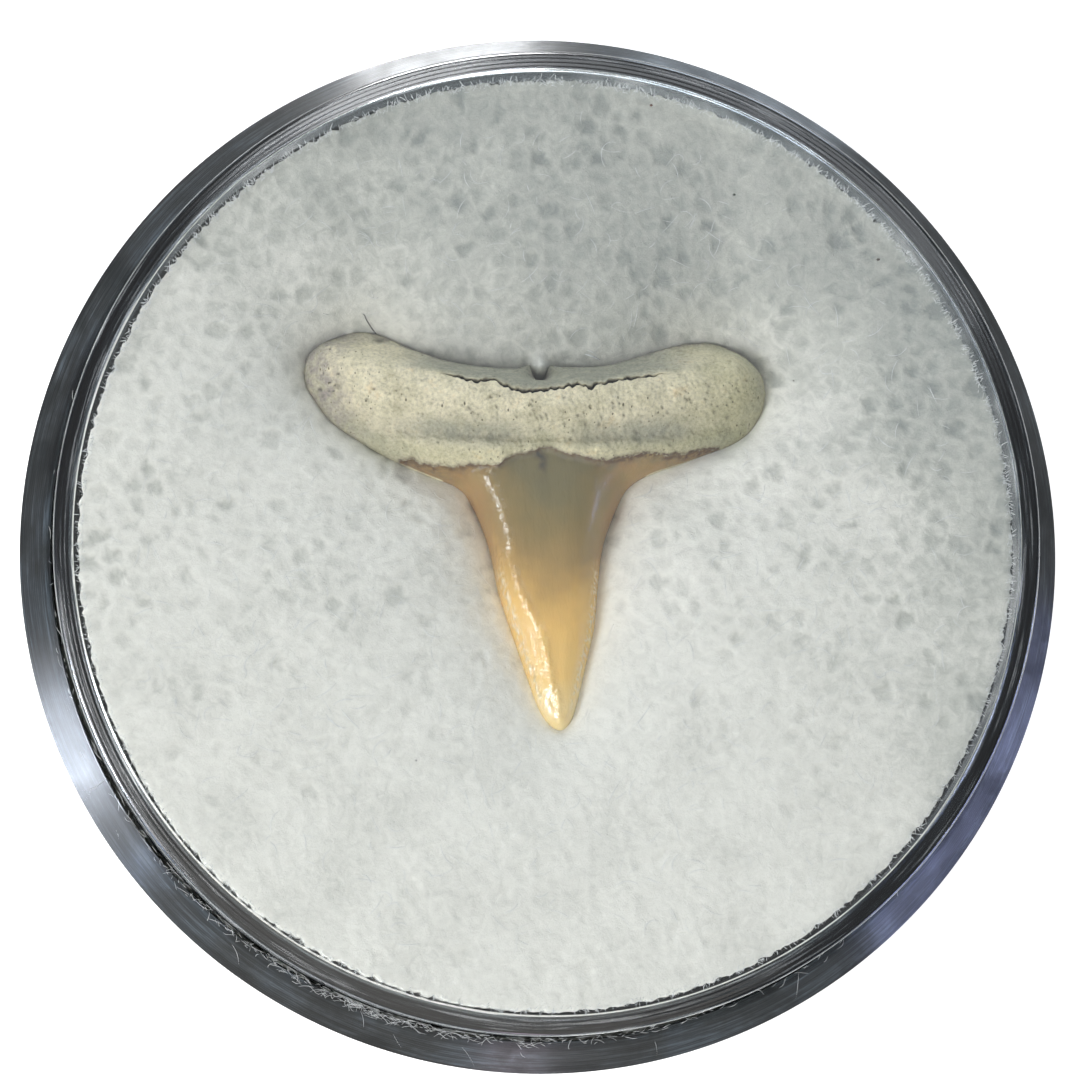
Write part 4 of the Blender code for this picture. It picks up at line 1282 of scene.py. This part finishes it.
def toothStains(x, y, far, run, crackY, crack, enamel, pores, upside):
    # how much of each stain there is, 0 to 1; far is the way in from the edge, run the way along it
    fromMiddle = np.abs(x)
    aboveCrack = y - crackY
    halves = np.abs(np.abs(x - 0.1) - stains["furrowHalf"])
    # painted shade in the furrow's groove
    furrow = bump(y - acrossRoot("furrow", x), stains["furrowWidth"])
    grey = stains["furrow"] * furrow * (0.4 + 0.6 * (1 - blend(*stains["furrowFade"], halves)))
    # painted shade above the crack, and grey along the edge at the root's ends
    over = blend(*stains["aboveCrackFrom"], aboveCrack) * (1 - blend(*stains["aboveCrackEnds"], fromMiddle))
    ends = (1 - blend(*stains["endEdgeFar"], far)) * blend(*stains["endEdgeFrom"], fromMiddle)
    grey = np.maximum(np.maximum(grey, stains["aboveCrack"] * over), stains["endEdge"] * ends)
    # painted shade on the strip from the crack up
    strip = stains["strip"] * blend(*stains["stripFrom"], aboveCrack)
    strip = strip * (1 - blend(*stains["stripEnds"], fromMiddle)) * upside
    rim = 1 - blend(*stains["rimFar"], far)
    porous = stains["poresEverywhere"] + bump(y - stains["poresY"] - 0.03 * x**2, stains["poresWidth"])
    porous = porous + blend(*stains["poresEnds"], fromMiddle) + 0.7 * bump(enamel + 0.15, 0.2)
    streak = bump(distanceTo(smoothLine(tooth["ridgeLine"]), x, y)[0], stains["ridgeWidth"])
    place, width = stains["shoulderFar"]
    shoulder = bump(far - place, width) * blend(*stains["shoulderAbove"], y)
    shoulder = shoulder * (1 - blend(*stains["shoulderLeftOf"], x))
    flank = stains["flank"] * (1 - blend(*stains["flankFar"], far)) * blend(*stains["flankAbove"], y)
    place, width = stains["wingPlace"]
    wing = stains["wing"] * bump(fromMiddle - place, width) * blend(*stains["wingAbove"], y)
    (spotX, across), (spotY, along) = stains["spotPlace"]
    spotAndRimShade = stains["spotAndRimShade"] * bump(x - spotX, across) * bump(y - spotY, along)
    # painted shade along the enamel line, under the root's rim
    place, width = stains["underRimPlace"]
    spotAndRimShade = spotAndRimShade + stains["underRimShade"] * bump(enamel - place, width)
    # lighter beads along the cutting edge, partly painted glints
    place, width = stains["beadPlace"]
    beads = blend(-0.15, 0.35, lumps(run, far, stains["beadSize"], 2, 33.0)) * bump(far - place, width)
    beads = stains["beads"] * beads * (1 - blend(*stains["beadsBelow"], y))
    # 0 at the tip, 1 under the root, and less towards the crown's sides
    towardsSide = 0.45 * np.minimum((x - 0.15) ** 2, 6)
    return {
        "grey": grey,
        "rim": rim * blend(*stains["rimAboveCrest"], y - acrossRoot("bulge", x)),
        "porous": np.clip(porous, 0, 1),
        # painted shade in the crack and the pores
        "dark": np.maximum(blend(0.05, 0.4, crack), 0.8 * pores),
        "edgeStain": np.clip(bump(enamel, 0.055) * (0.8 + 0.6 * blend(1.0, 2.2, x)) * upside, 0, 1),
        "level": np.clip((y - tooth["tipY"] - towardsSide) / 8.0 - 0.05, 0, 1),
        "flank": np.maximum(flank * upside, wing),
        "spotAndRimShade": np.clip(spotAndRimShade, 0, 1),
        "bead": beads * blend(*stains["beadsAbove"], y),
        "ends": blend(*stains["endsFrom"], -x) * (1 - blend(*stains["endsFar"], far)),
        "streak": np.maximum(streak, shoulder) * upside,
        "strip": strip * (0.85 + 0.25 * lumps(x * 0.5, y * 3, 0.3, 2, 36.0)),
        "olive": np.clip(0.6 * blend(*stains["oliveFrom"], x) + 0.4 * bump(enamel + 0.25, 0.3), 0, 1),
    }


def makeTooth():
    lines = toothColumns()
    y, upside = toothRows(lines)
    x = np.broadcast_to(lines["x"], y.shape)
    far, run = distanceTo(lines["outline"], x, y)
    crackY, crackHalf = lines["crack"], lines["crackHalf"]
    crack = np.clip(1 - np.abs(y - crackY) / np.maximum(crackHalf, 1e-4), 0, 1) * (crackHalf > 0.004)
    crack = crack * blend(0.0, 0.35, lines["inCrack"]) * upside
    enamel = np.where(upside > 0.5, lines["enamel"] - y, tooth["lowerEnamelY"] - 0.03 * x**2 - y)
    enamel = np.where(np.abs(x) > 6.2, -1.0, enamel)
    pores = toothPores(x, y) * upside
    upper, lower = toothSurface(x, y, far, crack, enamel, np.maximum(lines["enamelMiddle"], 1.9), pores)
    shares = toothStains(x, y, far, run, crackY, crack, enamel, pores, upside)

    # column by column, each a closed ring, and a point on each end
    points = layDown(x, y, np.where(upside > 0.5, upper, lower))
    rings = np.moveaxis(points, 0, 1)
    caps = [points[:, 0].mean(axis=0), points[:, -1].mean(axis=0)]
    caps[0][0], caps[1][0] = lines["ends"]
    faces = closedFaces(*rings.shape[:2])
    values = {key: np.r_[np.moveaxis(share, 0, 1).ravel(), 0, 0] for key, share in shares.items()}
    piece = makePiece("fossilTooth", np.vstack([rings.reshape(-1, 3), caps]), faces,
                      [dentineWeathered(), enameloidPolished()], values)
    enamelled = np.r_[np.moveaxis(enamel, 0, 1).ravel(), -1, -1]
    index = [int(np.mean(enamelled[list(face)]) > 0) for face in faces]
    piece.data.polygons.foreach_set("material_index", index)
    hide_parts("tooth")
    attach(piece, "root")


# Stray lint, hairs and grains; places in millimetres from the middle of the jar
strays = {
    # heading in degrees, spread in degrees, number of fibres
    "lint": (
        (-58, 16, 14), (-78, 12, 30), (-92, 9, 70), (-104, 8, 110), (-111, 1.8, 80), (-118, 8, 110),
        (-131, 7, 50), (-143, 6, 24), (-160, 12, 16), (180, 12, 10), (150, 16, 6), (95, 20, 8),
    ),
    "lintRadius": 15.0,
    "lintEdge": 15.28,
    "lintSpread": 0.06,
    "lintLength": (0.12, 0.6),
    "lintWidth": (0.007, 0.014),
    "lintLift": (0.02, 0.22),  # of the curl
    "lintOverShoulder": 0.02,
    # fibres that lie over the base's shoulder
    "crossing": 12,
    "crossingHeadings": (-170, -50),
    "crossingLength": (0.2, 1.0),
    "crossingWidth": (0.009, 0.014),
    "darkHair": (
        (-5.56, 7.14), (-5.49, 7.10), (-5.42, 6.96), (-5.24, 6.72), (-5.09, 6.52), (-5.04, 6.16),
    ),
    "darkHairWidth": 0.036,
    "darkHairLift": 0.06,
    "whiteHairs": (
        ((1.24, 5.95), (1.50, 5.87), (1.73, 5.79)), ((1.31, 6.05), (1.45, 6.01), (1.66, 5.90)),
    ),
    "whiteHairWidths": (0.06, 0.022),
    "whiteHairLift": 0.05,
    "hairBow": 0.05,  # further up in the middle
    "grainLumps": 0.35,
    "grainFlatness": (0.7, 0.6),  # along y, and of the height
    "grains": (
        # place, size, colour
        ((5.74, 10.72), 0.10, "#3c463a"),
        ((10.10, 8.70), 0.11, "#5a4335"),
        ((3.18, 13.40), 0.10, "#6e4a3c"),
        ((-3.95, -6.60), 0.05, "#57504a"),
        ((7.60, 5.10), 0.05, "#6a655c"),
    ),
    "seed": 23,
}


def hairMaterial():
    # keratin hair: thin, grey-brown, with a soft shine
    material, tree, shader, place = newMaterial("keratinHairBrown", {"Roughness": 0.4, "IOR": 1.55})
    bands = addNode(tree, "TexNoise", {"Scale": 4.0, "Detail": 2.0}, {"Vector": place})
    tint = addNode(tree, "ValToRGB", links={"Fac": bands.outputs[0]},
                   stops=((0.35, "#3a3733"), (0.65, "#5b5751")))
    tree.links.new(tint.outputs[0], shader.inputs["Base Color"])
    return material


def grainMaterial(name, code):
    # a crumb of sand or soil: matt, mottled with darker patches
    material, tree, shader, place = newMaterial(name, {"Roughness": 0.8})
    mottle = addNode(tree, "TexNoise", {"Scale": 18.0, "Detail": 2.0}, {"Vector": place})
    tint = addNode(tree, "ValToRGB", links={"Fac": mottle.outputs[0]},
                   stops=((0.35, "#2a2622"), (0.6, code)))
    tree.links.new(tint.outputs[0], shader.inputs["Base Color"])
    return material


def makeRimLint(lint):
    # caught in the gap between the lid and the base
    chance = np.random.default_rng(strays["seed"])
    share = np.linspace(0, 1, 9)
    paths, thickness = [], []
    shortest, longest = strays["lintLength"]
    for heading, spread, count in strays["lint"]:
        for _ in range(count):
            length = shortest + (longest - shortest) * chance.uniform() ** 2
            # mostly along the gap, with a curl
            way = chance.normal(0, 0.4) + math.pi * (chance.uniform() < 0.5)
            around, outward = wander(way + chance.normal(0, 0.7) * share, length)
            radius = strays["lintRadius"] + chance.normal(0, strays["lintSpread"]) + outward
            furthest = strays["lintEdge"] - chance.uniform(0, 0.15)
            radius = np.clip(radius, jar["lidWallRadius"] + 0.03, furthest)
            angle = math.radians(heading + chance.normal(0, spread)) + around / jar["mouthRadius"]
            curl = chance.uniform(*strays["lintLift"])
            curl = curl * np.sin(share * math.pi * chance.uniform(0.4, 1.0))
            height = baseTop(radius) + strays["lintOverShoulder"] + curl
            paths.append(np.stack([radius * np.cos(angle), radius * np.sin(angle), height], axis=1))
            thickness.append(chance.uniform(*strays["lintWidth"]))
    for _ in range(strays["crossing"]):
        length = chance.uniform(*strays["crossingLength"])
        start = chance.uniform(jar["lidWallRadius"] + 0.1, jar["radius"] - 0.35)
        way = chance.normal(0.4, 0.8)
        around, outward = wander(way + chance.normal(0, 0.8) * share, length)
        radius = np.minimum(start + outward, jar["radius"] - 0.02)
        angle = math.radians(chance.uniform(*strays["crossingHeadings"])) + around / start
        height = baseTop(radius) + strays["lintOverShoulder"]
        paths.append(np.stack([radius * np.cos(angle), radius * np.sin(angle), height], axis=1))
        thickness.append(chance.uniform(*strays["crossingWidth"]))
    piece = makeTubes("rimLint", paths, thickness, lint)
    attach(piece, "root")


def makeHairs(lint):
    def onFoam(line, lift):
        x, y = smoothLine(line, 8).T
        bow = strays["hairBow"] * np.sin(np.linspace(0, math.pi, len(x)))
        return np.stack([x, y, foamTop(x, y) + lift + bow], axis=1)

    dark = [onFoam(strays["darkHair"], strays["darkHairLift"])]
    white = [onFoam(line, strays["whiteHairLift"]) for line in strays["whiteHairs"]]
    pieces = [
        makeTubes("darkHair", dark, [strays["darkHairWidth"]], hairMaterial()),
        makeTubes("whiteHairs", white, strays["whiteHairWidths"], lint),
    ]
    for piece in pieces:
        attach(piece, "root")


def makeGrains():
    rings, sides = 7, 10
    turn, tilt = np.meshgrid(
        np.arange(sides) * 2 * math.pi / sides, np.linspace(0.02, math.pi - 0.02, rings)
    )
    faces = gridFaces(rings, sides, wrap=True)
    faces += [list(range(sides))[::-1], list(range((rings - 1) * sides, rings * sides))]
    across, along = np.cos(turn) * np.sin(tilt), np.sin(turn) * np.sin(tilt)
    narrow, low = strays["grainFlatness"]
    for number, ((x, y), size, code) in enumerate(strays["grains"], 1):
        radius = size / 2 * (1 + strays["grainLumps"] * lumps(across, along, 0.8, 2, number))
        level = foamTop(np.array([x]), np.array([y]))[0] + 0.02
        points = np.stack([
            x + radius * across, y + narrow * radius * along, level + low * radius * np.cos(tilt)
        ], axis=-1).reshape(-1, 3)
        crumb = grainMaterial(f"soilGrain{number}", code)
        piece = makePiece(f"grain{number}", points, faces, [crumb], closed=False)
        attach(piece, "root")


makeCamera(cameraView)
makeFloor(studio)
makeRoom(studio)
makeLamps(studio)
print("studio: floor, room,", len(studio["lamps"]), "lamps and", len(studio["cards"]), "gloss cards")
threadTop = jar["baseHeight"] - jar["mouthDepth"]
makeBase(threadTop)
makeLid(threadTop)
print("jar: base and lid")
makePad()
lint = fibreMaterial()
makePadFibres(lint)
print("foam pad and its fibres")
makeTooth()
print("tooth")
makeRimLint(lint)
makeHairs(lint)
makeGrains()
print("lint, hairs and grains")
